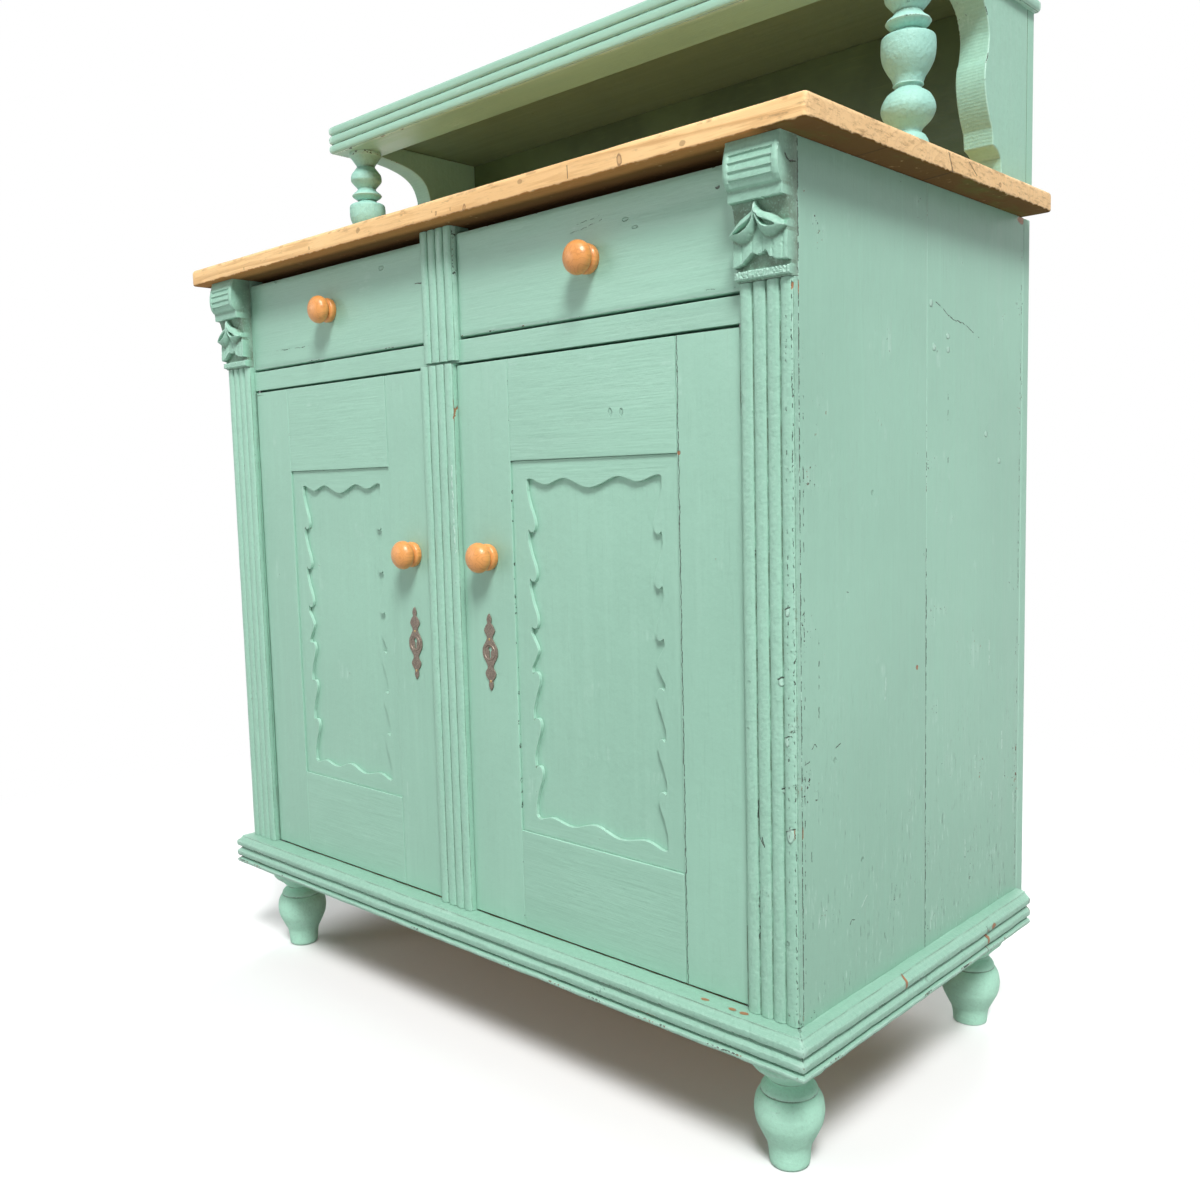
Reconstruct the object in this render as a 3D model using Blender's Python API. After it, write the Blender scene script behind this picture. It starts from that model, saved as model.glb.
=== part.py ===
"""Painted pine cupboard: two doors, two drawers, a waxed worktop and a turned gallery above it.

All sizes are in metres. +Z is up, the front faces -Y, and the origin lies on the floor under the
middle of the whole piece. The heights are worked out from the floor upwards, the widths from the
middle outwards, and the depths from the plane of the reeded strips backwards.
"""
import math

import bmesh
import bpy
from mathutils import Vector

# Fits
GAP = 0.0003                  # left between wooden faces that touch
RUNNING_FIT = 0.0001          # between a door's pivot pin and the hole it turns in
SIDE_CLEARANCE = 0.0010       # beside a door or a drawer front
SILL_CLEARANCE = 0.0015       # under a door
HEAD_CLEARANCE = 0.0030       # over a door, and under a drawer front
DRAWER_HEAD_CLEARANCE = 0.0080

# Carcass
CARCASS_WIDTH = 0.960
CARCASS_DEPTH = 0.500
SIDE_THICKNESS = 0.020
BACK_THICKNESS = 0.018
BACK_BOARD_COUNT = 6
BACK_GROOVE_WIDTH = 0.005
BACK_GROOVE_DEPTH = 0.0022
POST_DEPTH = 0.020
STOP_LIP = 0.009              # how far the doors' stop reaches past each side of the centre post
STOP_THICKNESS = 0.014
STOP_CLEARANCE = 0.0006
BOARD_THICKNESS = 0.018
BOARD_ABOVE_FEET = 0.020
HOUSING_DEPTH = 0.006         # how deep the shelf and the bottom board sit in the sides
FOOT_BLOCK_SIZE = 0.075
SHELF_RISE = 0.305            # of the inner shelf, over the bottom board
SHELF_SETBACK = 0.060
RAIL_TENON = 0.012
LAP_DEPTH = 0.010             # half of the crossing of the centre post and the drawer rail

# Heights of the front, from the feet upwards
FOOT_HEIGHT = 0.127
PLINTH_HEIGHT = 0.041
DOOR_HEIGHT = 0.645
DRAWER_RAIL_HEIGHT = 0.0255
DRAWER_FRONT_HEIGHT = 0.116

# Reeded strips and capitals
STRIP_WIDTH = 0.058
STRIP_DEPTH = 0.009
REED_COUNT = 4
REED_DEPTH = 0.003
REED_STEPS = 5
LOWER_CENTRE_SHIFT = -0.012   # the two centre strips stand a little left of the middle
UPPER_CENTRE_SHIFT = -0.005
UPPER_STRIP_WIDTH = 0.056
UPPER_STRIP_DROP = 0.023      # how far the upper centre strip hangs below the drawer openings
STRIP_JOINT = 0.003
CAPITAL_HEIGHT = 0.119
CAPITAL_PROJECTION = 0.0225

# Plinth moulding
PLINTH_PROJECTION = 0.0175
PLINTH_LEDGE_PROJECTION = 0.0050
PLINTH_LEDGE_DROP = 0.0025    # from the ledge to the first groove
PLINTH_REED_PITCH = 0.0147    # two whole reeds, and a low third one below them
PLINTH_REED_DEPTH = 0.0045

# Feet
FOOT_INSET_LEFT = 0.0485
FOOT_INSET_RIGHT = 0.042
FOOT_INSET_FRONT = 0.047
FOOT_INSET_REAR = 0.053
FOOT_BELLY_RADIUS = 0.0348
FOOT_COLLAR_RADIUS = 0.0385
FOOT_DOWEL_RADIUS = 0.0110
FOOT_DOWEL_LENGTH = 0.020

# Worktop
TOP_THICKNESS = 0.022
TOP_SIDE_OVERHANG = 0.034
TOP_FRONT_OVERHANG = 0.028
TOP_REAR_SETBACK = 0.020      # the back boards stand behind the worktop by this much
TOP_CORNER_RADIUS = 0.011
TOP_UPPER_ROUND = 0.0075
TOP_LOWER_ROUND = 0.0060

# Doors
DOOR_THICKNESS = 0.022
HINGE_STILE_WIDTH = 0.080
LEFT_LOCK_STILE_WIDTH = 0.0785
RIGHT_LOCK_STILE_WIDTH = 0.0845
TOP_RAIL_HEIGHT = 0.1115
BOTTOM_RAIL_HEIGHT = 0.1135
DOOR_TENON_LENGTH = 0.030
DOOR_TENON_SHOULDER = 0.016
GROOVE_DEPTH = 0.008
PANEL_THICKNESS = 0.009
PANEL_SETBACK = 0.0070
PIVOT_INSET = 0.0050          # pivot axis, from the door's outer edge
PIVOT_DEPTH = 0.0045          # pivot axis, from the door's face
PIVOT_RADIUS = 0.0020
PIVOT_LENGTH = 0.011          # in each of the two pieces that the pivot joins
PIVOT_COLLAR_RADIUS = 0.0038

# Wavy fret strips round the door panels
FRET_SETBACK = 0.0025
FRET_NARROW = 0.0230
FRET_WIDE = 0.0340
FRET_HOOK_STEP = 0.0535       # from hook to hook
FRET_FIRST_HOOK = 0.0255      # from the middle of the panel to the first hook
FRET_TOP_WIDTH = 0.0190
FRET_BOTTOM_WIDTH = 0.0180

# Drawers
DRAWER_FRONT_THICKNESS = 0.020
DRAWER_FRONT_ROUND = 0.0030
DRAWER_WALL = 0.010
DRAWER_BOX_HEIGHT = 0.098
DRAWER_REAR_CLEARANCE = 0.0327
DRAWER_BOX_INSET = 0.0020
DRAWER_BOTTOM_THICKNESS = 0.006
DRAWER_BOTTOM_LIFT = 0.006
RUNNER_WIDTH = 0.060
GUIDE_HEIGHT = 0.014
DUST_BOARD_THICKNESS = 0.008
DUST_BOARD_LIFT = 0.008

# Knobs, escutcheons and locks
KNOB_RADIUS = 0.0178
KNOB_LENGTH = 0.0295
KNOB_SHANK_RADIUS = 0.0050
KNOB_SHANK_LENGTH = 0.014
DOOR_KNOB_RISE = 0.4260           # over the door's lower edge
LEFT_DOOR_KNOB_INSET = 0.0330
RIGHT_DOOR_KNOB_INSET = 0.0455
LEFT_DRAWER_KNOB_INSET = 0.1955   # from the drawer front's edge beside the centre strip
RIGHT_DRAWER_KNOB_INSET = 0.2070
LEFT_DRAWER_KNOB_DROP = 0.0560    # below the drawer front's upper edge
RIGHT_DRAWER_KNOB_DROP = 0.0600
ESCUTCHEON_HEIGHT = 0.090
ESCUTCHEON_WIDTH = 0.026
ESCUTCHEON_THICKNESS = 0.0012
LEFT_ESCUTCHEON_INSET = 0.0365
RIGHT_ESCUTCHEON_INSET = 0.0415
ESCUTCHEON_RISE = 0.3160          # of its middle, over the door's lower edge
KEYHOLE_RADIUS = 0.0030
KEYHOLE_SLOT_WIDTH = 0.0026
KEYHOLE_LENGTH = 0.0130
LOCK_WIDTH = 0.034
LOCK_HEIGHT = 0.052
LOCK_THICKNESS = 0.010

# Gallery above the worktop
GALLERY_OVERHANG = 0.010      # past the carcass at each side
GALLERY_SIDE_THICKNESS = 0.034
GALLERY_BACK_THICKNESS = 0.017
GALLERY_CLEAR_HEIGHT = 0.2005
GALLERY_SHELF_THICKNESS = 0.020
GALLERY_RAIL_WIDTH = 0.058
GALLERY_SHELF_DEPTH = 0.268
GALLERY_MOULDING_HEIGHT = 0.040
GALLERY_MOULDING_THICKNESS = 0.0075
GALLERY_REED_COUNT = 3
GALLERY_REED_DEPTH = 0.0028
COLUMN_INSET_X = 0.020
COLUMN_SETBACK = 0.0315       # from the front of the gallery's shelf
COLUMN_BALL_RADIUS = 0.0274

# Turning
TURN_SEGMENTS = 16
KNOB_SEGMENTS = 14

# Places worked out from the sizes
FRONT = TOP_FRONT_OVERHANG - (CARCASS_DEPTH + TOP_FRONT_OVERHANG) / 2
FACE = FRONT + STRIP_DEPTH
BACK = FRONT + CARCASS_DEPTH
BACK_INNER = BACK - BACK_THICKNESS
HALF_WIDTH = CARCASS_WIDTH / 2
INSIDE = HALF_WIDTH - SIDE_THICKNESS
OPENING_EDGE = HALF_WIDTH - STRIP_WIDTH
FRAME_FRONT = FACE + GAP
FRAME_BACK = FRAME_FRONT + POST_DEPTH

PLINTH_TOP = FOOT_HEIGHT + PLINTH_HEIGHT
BOARD_BOTTOM = FOOT_HEIGHT + BOARD_ABOVE_FEET
BOARD_TOP = BOARD_BOTTOM + BOARD_THICKNESS
SHELF_BOTTOM = BOARD_TOP + SHELF_RISE
DOOR_BOTTOM = PLINTH_TOP + SILL_CLEARANCE
DOOR_TOP = DOOR_BOTTOM + DOOR_HEIGHT
RAIL_BOTTOM = DOOR_TOP + HEAD_CLEARANCE
RAIL_TOP = RAIL_BOTTOM + DRAWER_RAIL_HEIGHT
DRAWER_BOTTOM = RAIL_TOP + HEAD_CLEARANCE
DRAWER_TOP = DRAWER_BOTTOM + DRAWER_FRONT_HEIGHT
CARCASS_TOP = DRAWER_TOP + DRAWER_HEAD_CLEARANCE
CAPITAL_BOTTOM = CARCASS_TOP - CAPITAL_HEIGHT
UPPER_STRIP_BOTTOM = RAIL_TOP - UPPER_STRIP_DROP

LOWER_LEFT = LOWER_CENTRE_SHIFT - STRIP_WIDTH / 2
LOWER_RIGHT = LOWER_CENTRE_SHIFT + STRIP_WIDTH / 2
UPPER_LEFT = UPPER_CENTRE_SHIFT - UPPER_STRIP_WIDTH / 2
UPPER_RIGHT = UPPER_CENTRE_SHIFT + UPPER_STRIP_WIDTH / 2

DOOR_BACK = FACE + DOOR_THICKNESS
PIVOT_X = OPENING_EDGE - SIDE_CLEARANCE - PIVOT_INSET
PIVOT_Y = FACE + PIVOT_DEPTH

TOP_UNDER = CARCASS_TOP + GAP
TOP_SURFACE = TOP_UNDER + TOP_THICKNESS
TOP_FRONT = FRONT - TOP_FRONT_OVERHANG
TOP_BACK = BACK - TOP_REAR_SETBACK
GALLERY_HALF = HALF_WIDTH + GALLERY_OVERHANG
GALLERY_FLOOR = TOP_SURFACE + GAP
GALLERY_HEAD = TOP_SURFACE + GALLERY_CLEAR_HEIGHT
GALLERY_TOP = GALLERY_HEAD + GALLERY_MOULDING_HEIGHT
GALLERY_BOARD_UNDER = GALLERY_TOP - GALLERY_SHELF_THICKNESS
GALLERY_FRONT = TOP_BACK - GALLERY_SHELF_DEPTH
GALLERY_RAIL_BACK = GALLERY_FRONT + GALLERY_RAIL_WIDTH
GALLERY_BACK_FACE = TOP_BACK - GALLERY_BACK_THICKNESS


# Materials

def make_material(name, colour, roughness, metallic=0.0):
    """A plain Principled BSDF in the piece's own colour."""
    material = bpy.data.materials.new(name)
    material.use_nodes = True
    shader = material.node_tree.nodes["Principled BSDF"]
    shader.inputs["Base Color"].default_value = (*colour, 1.0)
    shader.inputs["Roughness"].default_value = roughness
    shader.inputs["Metallic"].default_value = metallic
    return material


# Building pieces

def add_piece(name, bm, material, origin=(0.0, 0.0, 0.0), carrier=None, sharp_degrees=None):
    """Turn a bmesh in world coordinates into an object whose own origin is at the given point."""
    bmesh.ops.recalc_face_normals(bm, faces=bm.faces)
    bmesh.ops.translate(bm, verts=bm.verts, vec=-Vector(origin))
    mesh = bpy.data.meshes.new(name)
    bm.to_mesh(mesh)
    bm.free()
    mesh.materials.append(material)
    if sharp_degrees is not None:
        mesh.shade_smooth()
        mesh.set_sharp_from_angle(angle=math.radians(sharp_degrees))
    piece = bpy.data.objects.new(name, mesh)
    bpy.context.scene.collection.objects.link(piece)
    piece.location = origin
    if carrier is not None:
        piece.parent = carrier
        piece.location = Vector(origin) - carrier.location
    return piece


def add_carrier(name, location):
    """An empty on a joint's axis, which carries the pieces that move together."""
    carrier = bpy.data.objects.new(name, None)
    carrier.location = location
    bpy.context.scene.collection.objects.link(carrier)
    return carrier


def sort_box(box):
    """The same box with the lower value first along each axis."""
    x0, x1, y0, y1, z0, z1 = box
    return (min(x0, x1), max(x0, x1), min(y0, y1), max(y0, y1), min(z0, z1), max(z0, z1))


def joinery(solids, cuts=()):
    """One closed body: the union of some boxes, less other boxes. A box is x0, x1, y0, y1, z0, z1."""
    solids = [sort_box(box) for box in solids]
    cuts = [sort_box(box) for box in cuts]
    stops = []
    for axis in range(3):
        values = sorted(value for box in solids + cuts for value in box[2 * axis:2 * axis + 2])
        kept = values[:1]
        for value in values:
            if value - kept[-1] > 1e-7:
                kept.append(value)
        stops.append(kept)

    def is_wood(cell):
        if any(index < 0 or index >= len(stops[axis]) - 1 for axis, index in enumerate(cell)):
            return False
        middle = [(stops[axis][index] + stops[axis][index + 1]) / 2 for axis, index in enumerate(cell)]
        if not any(holds(box, middle) for box in solids):
            return False
        return not any(holds(box, middle) for box in cuts)

    bm = bmesh.new()
    corners = {}

    def corner(key):
        if key not in corners:
            corners[key] = bm.verts.new([stops[axis][key[axis]] for axis in range(3)])
        return corners[key]

    counts = [len(kept) - 1 for kept in stops]
    cells = [(i, j, k) for i in range(counts[0]) for j in range(counts[1]) for k in range(counts[2])]
    for cell in cells:
        if not is_wood(cell):
            continue
        for axis in range(3):
            for side in (0, 1):
                neighbour = list(cell)
                neighbour[axis] += 2 * side - 1
                if is_wood(tuple(neighbour)):
                    continue
                across, along = [other for other in range(3) if other != axis]
                keys = []
                for step_a, step_b in ((0, 0), (1, 0), (1, 1), (0, 1)):
                    key = list(cell)
                    key[axis] += side
                    key[across] += step_a
                    key[along] += step_b
                    keys.append(tuple(key))
                bm.faces.new([corner(key) for key in keys])
    bmesh.ops.recalc_face_normals(bm, faces=bm.faces)
    bmesh.ops.dissolve_limit(bm, angle_limit=math.radians(0.5), verts=bm.verts, edges=bm.edges)
    return bm


def holds(box, point):
    """Whether a point lies inside a box."""
    return all(box[2 * axis] < point[axis] < box[2 * axis + 1] for axis in range(3))


def loft(rings, closed=False):
    """One closed body through rings of points. A closed loft has no caps and joins its ends."""
    bm = bmesh.new()
    loops = [[bm.verts.new(point) for point in ring] for ring in rings]
    count = len(loops[0])
    last = len(loops) if closed else len(loops) - 1
    for index in range(last):
        here = loops[index]
        there = loops[(index + 1) % len(loops)]
        for step in range(count):
            after = (step + 1) % count
            bm.faces.new((here[step], here[after], there[after], there[step]))
    if not closed:
        bm.faces.new(loops[0])
        bm.faces.new(loops[-1])
    return bm


def prism(outline, axis, start, end):
    """A flat outline drawn out along one axis. The outline gives the other two axes in order."""
    return loft([[lay_out(point, axis, level) for point in outline] for level in (start, end)])


def lay_out(point, axis, level):
    """A point of a flat outline at one level of the axis it is drawn out along."""
    if axis == "X":
        return (level, point[0], point[1])
    if axis == "Y":
        return (point[0], level, point[1])
    return (point[0], point[1], level)


def pierced_plate(outline, hole, axis, start, end):
    """A prism with one hole through it."""
    bm = bmesh.new()
    for level in (start, end):
        edges = []
        for loop in (outline, hole):
            verts = [bm.verts.new(lay_out(point, axis, level)) for point in loop]
            for step, vert in enumerate(verts):
                edges.append(bm.edges.new((vert, verts[(step + 1) % len(verts)])))
        bmesh.ops.triangle_fill(bm, edges=edges, use_beauty=True)
    bm.verts.ensure_lookup_table()
    half = len(outline) + len(hole)
    first = 0
    for loop in (outline, hole):
        for step in range(len(loop)):
            here = first + step
            after = first + (step + 1) % len(loop)
            bm.faces.new([bm.verts[index] for index in (here, after, after + half, here + half)])
        first += len(loop)
    return bm


def turned(profile, centre, axis="Z", segments=TURN_SEGMENTS):
    """A body of revolution. The profile is a list of (distance along the axis, radius)."""
    rings = []
    for along, radius in profile:
        ring = []
        for step in range(segments):
            angle = 2 * math.pi * (step + 0.5) / segments
            across = radius * math.cos(angle)
            up = radius * math.sin(angle)
            if axis == "Z":
                ring.append(Vector(centre) + Vector((across, up, along)))
            else:
                ring.append(Vector(centre) + Vector((across, -along, up)))
        rings.append(ring)
    return loft(rings)


def smooth_line(points, steps=2):
    """A smooth line through points in two dimensions, with some extra points on each stretch."""
    line = []
    for index in range(len(points) - 1):
        before = points[max(index - 1, 0)]
        here = points[index]
        there = points[index + 1]
        after = points[min(index + 2, len(points) - 1)]
        for step in range(steps):
            t = step / steps
            line.append(tuple(
                0.5 * (2 * b + (c - a) * t + (2 * a - 5 * b + 4 * c - d) * t ** 2
                       + (3 * b - a - 3 * c + d) * t ** 3)
                for a, b, c, d in zip(before, here, there, after)))
    line.append(tuple(points[-1]))
    return line


def reeds(start, end, count, depth, steps=REED_STEPS):
    """Half-round reeds side by side: (place along the face, height over the grooves), end to end."""
    line = []
    width = (end - start) / count
    for reed in range(count):
        for step in range(steps):
            angle = math.pi * step / steps
            line.append((start + width * (reed + 0.5 - 0.5 * math.cos(angle)), depth * math.sin(angle)))
    line.append((end, 0.0))
    return line


def cylinder_points(bm, centre, radius, start, end, axis="Z", segments=16):
    """Add a closed cylinder to a bmesh, from one level of its axis to another."""
    loops = []
    for level in (start, end):
        ring = []
        for step in range(segments):
            angle = 2 * math.pi * step / segments
            across = radius * math.cos(angle)
            up = radius * math.sin(angle)
            if axis == "Z":
                ring.append(bm.verts.new((centre[0] + across, centre[1] + up, level)))
            else:
                ring.append(bm.verts.new((centre[0] + across, level, centre[1] + up)))
        loops.append(ring)
    for step in range(segments):
        after = (step + 1) % segments
        bm.faces.new((loops[0][step], loops[0][after], loops[1][after], loops[1][step]))
    bm.faces.new(loops[0])
    bm.faces.new(loops[1])


def bore(piece, holes):
    """Cut round holes in a piece. A hole is centre, radius, start, end and axis."""
    bm = bmesh.new()
    for centre, radius, start, end, axis in holes:
        cylinder_points(bm, centre, radius, start, end, axis)
    bmesh.ops.recalc_face_normals(bm, faces=bm.faces)
    mesh = bpy.data.meshes.new("bore_" + piece.name)
    bm.to_mesh(mesh)
    bm.free()
    cutter = bpy.data.objects.new("bore_" + piece.name, mesh)
    cutter.hide_render = True
    cutter.display_type = "WIRE"
    bpy.context.scene.collection.objects.link(cutter)
    cut = piece.modifiers.new("bore", "BOOLEAN")
    cut.operation = "DIFFERENCE"
    cut.object = cutter
    cut.solver = "EXACT"


def round_edges(bm, picks, offset, segments):
    """Round the straight edges whose two ends both satisfy a test."""
    edges = [edge for edge in bm.edges if all(picks(vert.co) for vert in edge.verts)]
    bmesh.ops.bevel(bm, geom=edges, offset=offset, segments=segments, profile=0.5, affect="EDGES")


# Carcass

def make_sides(paint):
    """The two side panels, housed for the bottom board and the inner shelf."""
    for side, name in ((-1, "side_panel_left"), (1, "side_panel_right")):
        housing = (side * (INSIDE - GAP), side * (INSIDE + HOUSING_DEPTH))
        panel = (side * INSIDE, side * HALF_WIDTH, FRAME_FRONT, BACK_INNER - GAP, FOOT_HEIGHT, CARCASS_TOP)
        board_cut = (*housing, FRONT, BACK, BOARD_BOTTOM - GAP, BOARD_TOP + GAP)
        shelf_cut = (*housing, FRAME_FRONT + SHELF_SETBACK - GAP, BACK, SHELF_BOTTOM - GAP,
                     SHELF_BOTTOM + BOARD_THICKNESS + GAP)
        add_piece(name, joinery([panel], [board_cut, shelf_cut]), paint, (side * HALF_WIDTH, FRAME_FRONT, 0))


def make_back(paint):
    """Upright back boards, glued edge to edge, with a V groove at each joint."""
    outline = [(-HALF_WIDTH, BACK_INNER), (HALF_WIDTH, BACK_INNER), (HALF_WIDTH, BACK)]
    board_width = CARCASS_WIDTH / BACK_BOARD_COUNT
    for joint in range(BACK_BOARD_COUNT - 1, 0, -1):
        middle = -HALF_WIDTH + joint * board_width
        outline.append((middle + BACK_GROOVE_WIDTH / 2, BACK))
        outline.append((middle, BACK - BACK_GROOVE_DEPTH))
        outline.append((middle - BACK_GROOVE_WIDTH / 2, BACK))
    outline.append((-HALF_WIDTH, BACK))
    add_piece("back_boards", prism(outline, "Z", FOOT_HEIGHT, CARCASS_TOP), paint, (0, BACK, FOOT_HEIGHT))


def foot_centres():
    """Name and centre of each foot."""
    for y_name, y in (("front", FRONT + FOOT_INSET_FRONT), ("rear", BACK - FOOT_INSET_REAR)):
        for x_name, x in (("left", FOOT_INSET_LEFT - HALF_WIDTH), ("right", HALF_WIDTH - FOOT_INSET_RIGHT)):
            yield f"foot_{y_name}_{x_name}", x, y


def make_bottom_board(pine):
    """The cupboard's floor, with the four glued blocks that take the feet's dowels."""
    reach = INSIDE + HOUSING_DEPTH - GAP
    rear = BACK_INNER - GAP
    solids = [(-reach, reach, FRAME_FRONT, rear, BOARD_BOTTOM, BOARD_TOP)]
    for side in (-1, 1):
        block_x = (side * (INSIDE - GAP), side * (INSIDE - GAP - FOOT_BLOCK_SIZE))
        for block_y in ((FRAME_FRONT, FRAME_FRONT + FOOT_BLOCK_SIZE), (rear - FOOT_BLOCK_SIZE, rear)):
            solids.append((*block_x, *block_y, FOOT_HEIGHT, BOARD_BOTTOM))
    board = add_piece("bottom_board", joinery(solids), pine, (0, FRAME_FRONT, BOARD_BOTTOM))
    holes = []
    for _, x, y in foot_centres():
        holes.append(((x, y), FOOT_DOWEL_RADIUS + GAP, 0, FOOT_HEIGHT + FOOT_DOWEL_LENGTH + GAP, "Z"))
    for side in (-1, 1):
        hole_end = BOARD_TOP - PIVOT_LENGTH - GAP
        holes.append(((side * PIVOT_X, PIVOT_Y), PIVOT_RADIUS + RUNNING_FIT, hole_end, DOOR_TOP, "Z"))
    bore(board, holes)


def make_inner_shelf(pine):
    """The shelf across the cupboard, housed in both sides."""
    reach = INSIDE + HOUSING_DEPTH - GAP
    box = (-reach, reach, FRAME_FRONT + SHELF_SETBACK, BACK_INNER - GAP, SHELF_BOTTOM,
           SHELF_BOTTOM + BOARD_THICKNESS)
    add_piece("inner_shelf", joinery([box]), pine, (0, FRAME_FRONT + SHELF_SETBACK, SHELF_BOTTOM))


def make_front_frame(paint):
    """The posts behind the strips and the rail between doors and drawers."""
    tenon_y = (FRAME_FRONT + POST_DEPTH / 3, FRAME_BACK - POST_DEPTH / 3)
    tenon_z = (RAIL_BOTTOM + DRAWER_RAIL_HEIGHT / 5, RAIL_TOP - DRAWER_RAIL_HEIGHT / 5)
    rail_end = OPENING_EDGE - GAP
    rail = [(-rail_end, rail_end, FRAME_FRONT, FRAME_BACK, RAIL_BOTTOM, RAIL_TOP)]
    for side, name in ((-1, "corner_post_left"), (1, "corner_post_right")):
        post = (side * OPENING_EDGE, side * (INSIDE - GAP), FRAME_FRONT, FRAME_BACK, BOARD_TOP + GAP,
                CARCASS_TOP)
        mortise = (side * (OPENING_EDGE - GAP), side * (OPENING_EDGE + RAIL_TENON), tenon_y[0] - GAP,
                   tenon_y[1] + GAP, tenon_z[0] - GAP, tenon_z[1] + GAP)
        add_piece(name, joinery([post], [mortise]), paint, (side * OPENING_EDGE, FRAME_FRONT, BOARD_TOP))
        rail.append((side * rail_end, side * (OPENING_EDGE + RAIL_TENON - GAP), *tenon_y, *tenon_z))

    lap_left = min(LOWER_LEFT, UPPER_LEFT)
    lap_right = max(LOWER_RIGHT, UPPER_RIGHT)
    lap = FRAME_FRONT + LAP_DEPTH
    notch = (lap_left - GAP, lap_right + GAP, lap, BACK, RAIL_BOTTOM, RAIL_TOP)
    drawer_rail = add_piece("drawer_rail", joinery(rail, [notch]), paint, (0, FRAME_FRONT, RAIL_BOTTOM))
    holes = []
    for side in (-1, 1):
        hole_end = RAIL_BOTTOM + PIVOT_LENGTH + GAP
        holes.append(((side * PIVOT_X, PIVOT_Y), PIVOT_RADIUS + RUNNING_FIT, BOARD_TOP, hole_end, "Z"))
    bore(drawer_rail, holes)

    stop_front = DOOR_BACK + STOP_CLEARANCE
    stop_back = stop_front + STOP_THICKNESS
    lower = (LOWER_LEFT, LOWER_RIGHT, FRAME_FRONT, stop_back, BOARD_TOP + GAP, RAIL_BOTTOM - GAP)
    stop = (LOWER_LEFT - STOP_LIP, LOWER_RIGHT + STOP_LIP, stop_front, stop_back, BOARD_TOP + GAP,
            RAIL_BOTTOM - GAP)
    crossing = (lap_left, lap_right, lap + GAP, FRAME_BACK, RAIL_BOTTOM - GAP, RAIL_TOP + GAP)
    upper = (UPPER_LEFT, UPPER_RIGHT, FRAME_FRONT, FRAME_BACK, RAIL_TOP + GAP, CARCASS_TOP)
    add_piece("centre_post", joinery([lower, stop, crossing, upper]), paint,
              (LOWER_CENTRE_SHIFT, FRAME_FRONT, BOARD_TOP))


def make_drawer_bed(pine):
    """Runners, guides and dust board behind the drawer rail, glued up as one."""
    reach = INSIDE - GAP
    front = FRAME_BACK + GAP
    rear = BACK_INNER - GAP
    dust_bottom = RAIL_BOTTOM + DUST_BOARD_LIFT
    solids = [(-reach, reach, front, rear, dust_bottom, dust_bottom + DUST_BOARD_THICKNESS)]
    for side in (-1, 1):
        solids.append((side * reach, side * (reach - RUNNER_WIDTH), front, rear, RAIL_BOTTOM, RAIL_TOP))
        solids.append((side * reach, side * OPENING_EDGE, front, rear, RAIL_TOP, RAIL_TOP + GUIDE_HEIGHT))
    solids.append((UPPER_LEFT - RUNNER_WIDTH / 2, UPPER_RIGHT + RUNNER_WIDTH / 2, front, rear,
                   RAIL_BOTTOM, RAIL_TOP))
    solids.append((UPPER_LEFT, UPPER_RIGHT, front, rear, RAIL_TOP, RAIL_TOP + GUIDE_HEIGHT))
    add_piece("drawer_bed", joinery(solids), pine, (0, front, RAIL_BOTTOM))


# Strips, capitals and plinth

def reeded_strip(name, left, right, bottom, top, paint):
    """A strip with reeds down its face."""
    outline = [(x, FRONT + REED_DEPTH - lift) for x, lift in reeds(left, right, REED_COUNT, REED_DEPTH)]
    outline += [(right, FACE), (left, FACE)]
    add_piece(name, prism(outline, "Z", bottom, top), paint, ((left + right) / 2, FACE, bottom),
              sharp_degrees=50)


def make_strips(paint):
    """The reeded strips at both corners and in the middle."""
    corner_top = CAPITAL_BOTTOM - GAP
    corner_bottom = PLINTH_TOP + GAP
    reeded_strip("corner_strip_left", -HALF_WIDTH, -OPENING_EDGE, corner_bottom, corner_top, paint)
    reeded_strip("corner_strip_right", OPENING_EDGE, HALF_WIDTH, corner_bottom, corner_top, paint)
    lower_top = UPPER_STRIP_BOTTOM - STRIP_JOINT
    reeded_strip("centre_strip_lower", LOWER_LEFT, LOWER_RIGHT, corner_bottom, lower_top, paint)
    reeded_strip("centre_strip_upper", UPPER_LEFT, UPPER_RIGHT, UPPER_STRIP_BOTTOM, CARCASS_TOP, paint)


def make_capitals(paint):
    """Carved scroll blocks over the corner strips, with fluted fronts and a leaf below."""
    # Each point is a share of the height, from the bottom, and a share of the projection.
    abacus = [(0.0, 0.05), (0.035, 0.15), (0.06, 0.15), (0.075, 0.02)]
    apron = [(0.09, 0.28), (0.17, 0.30)]
    leaf = smooth_line([(0.245, 0.30), (0.275, 0.42), (0.32, 0.44), (0.365, 0.26), (0.41, 0.14),
                        (0.47, 0.34)])
    fillet = [(0.515, 0.40), (0.525, 0.54), (0.59, 0.64), (0.60, 0.54), (0.635, 0.58), (0.645, 0.82)]
    scroll = []
    for flute in range(3):
        low = 0.67 + 0.085 * flute
        swell = 0.93 + 0.03 * flute
        scroll += [(low, swell), (low + 0.05, swell + 0.02), (low + 0.06, swell - 0.10)]
    crown = [(0.925, 0.97), (0.965, 0.86), (1.0, 0.70)]
    outline = []
    for share, projection in abacus + apron + leaf + fillet + scroll + crown:
        outline.append((FRONT - CAPITAL_PROJECTION * projection, CAPITAL_BOTTOM + CAPITAL_HEIGHT * share))
    outline += [(FACE, CARCASS_TOP), (FACE, CAPITAL_BOTTOM)]
    for name, left, right in (("capital_left", -HALF_WIDTH, -OPENING_EDGE),
                              ("capital_right", OPENING_EDGE, HALF_WIDTH)):
        bm = prism(outline, "X", left, right)
        add_piece(name, bm, paint, ((left + right) / 2, FACE, CAPITAL_BOTTOM))


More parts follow.
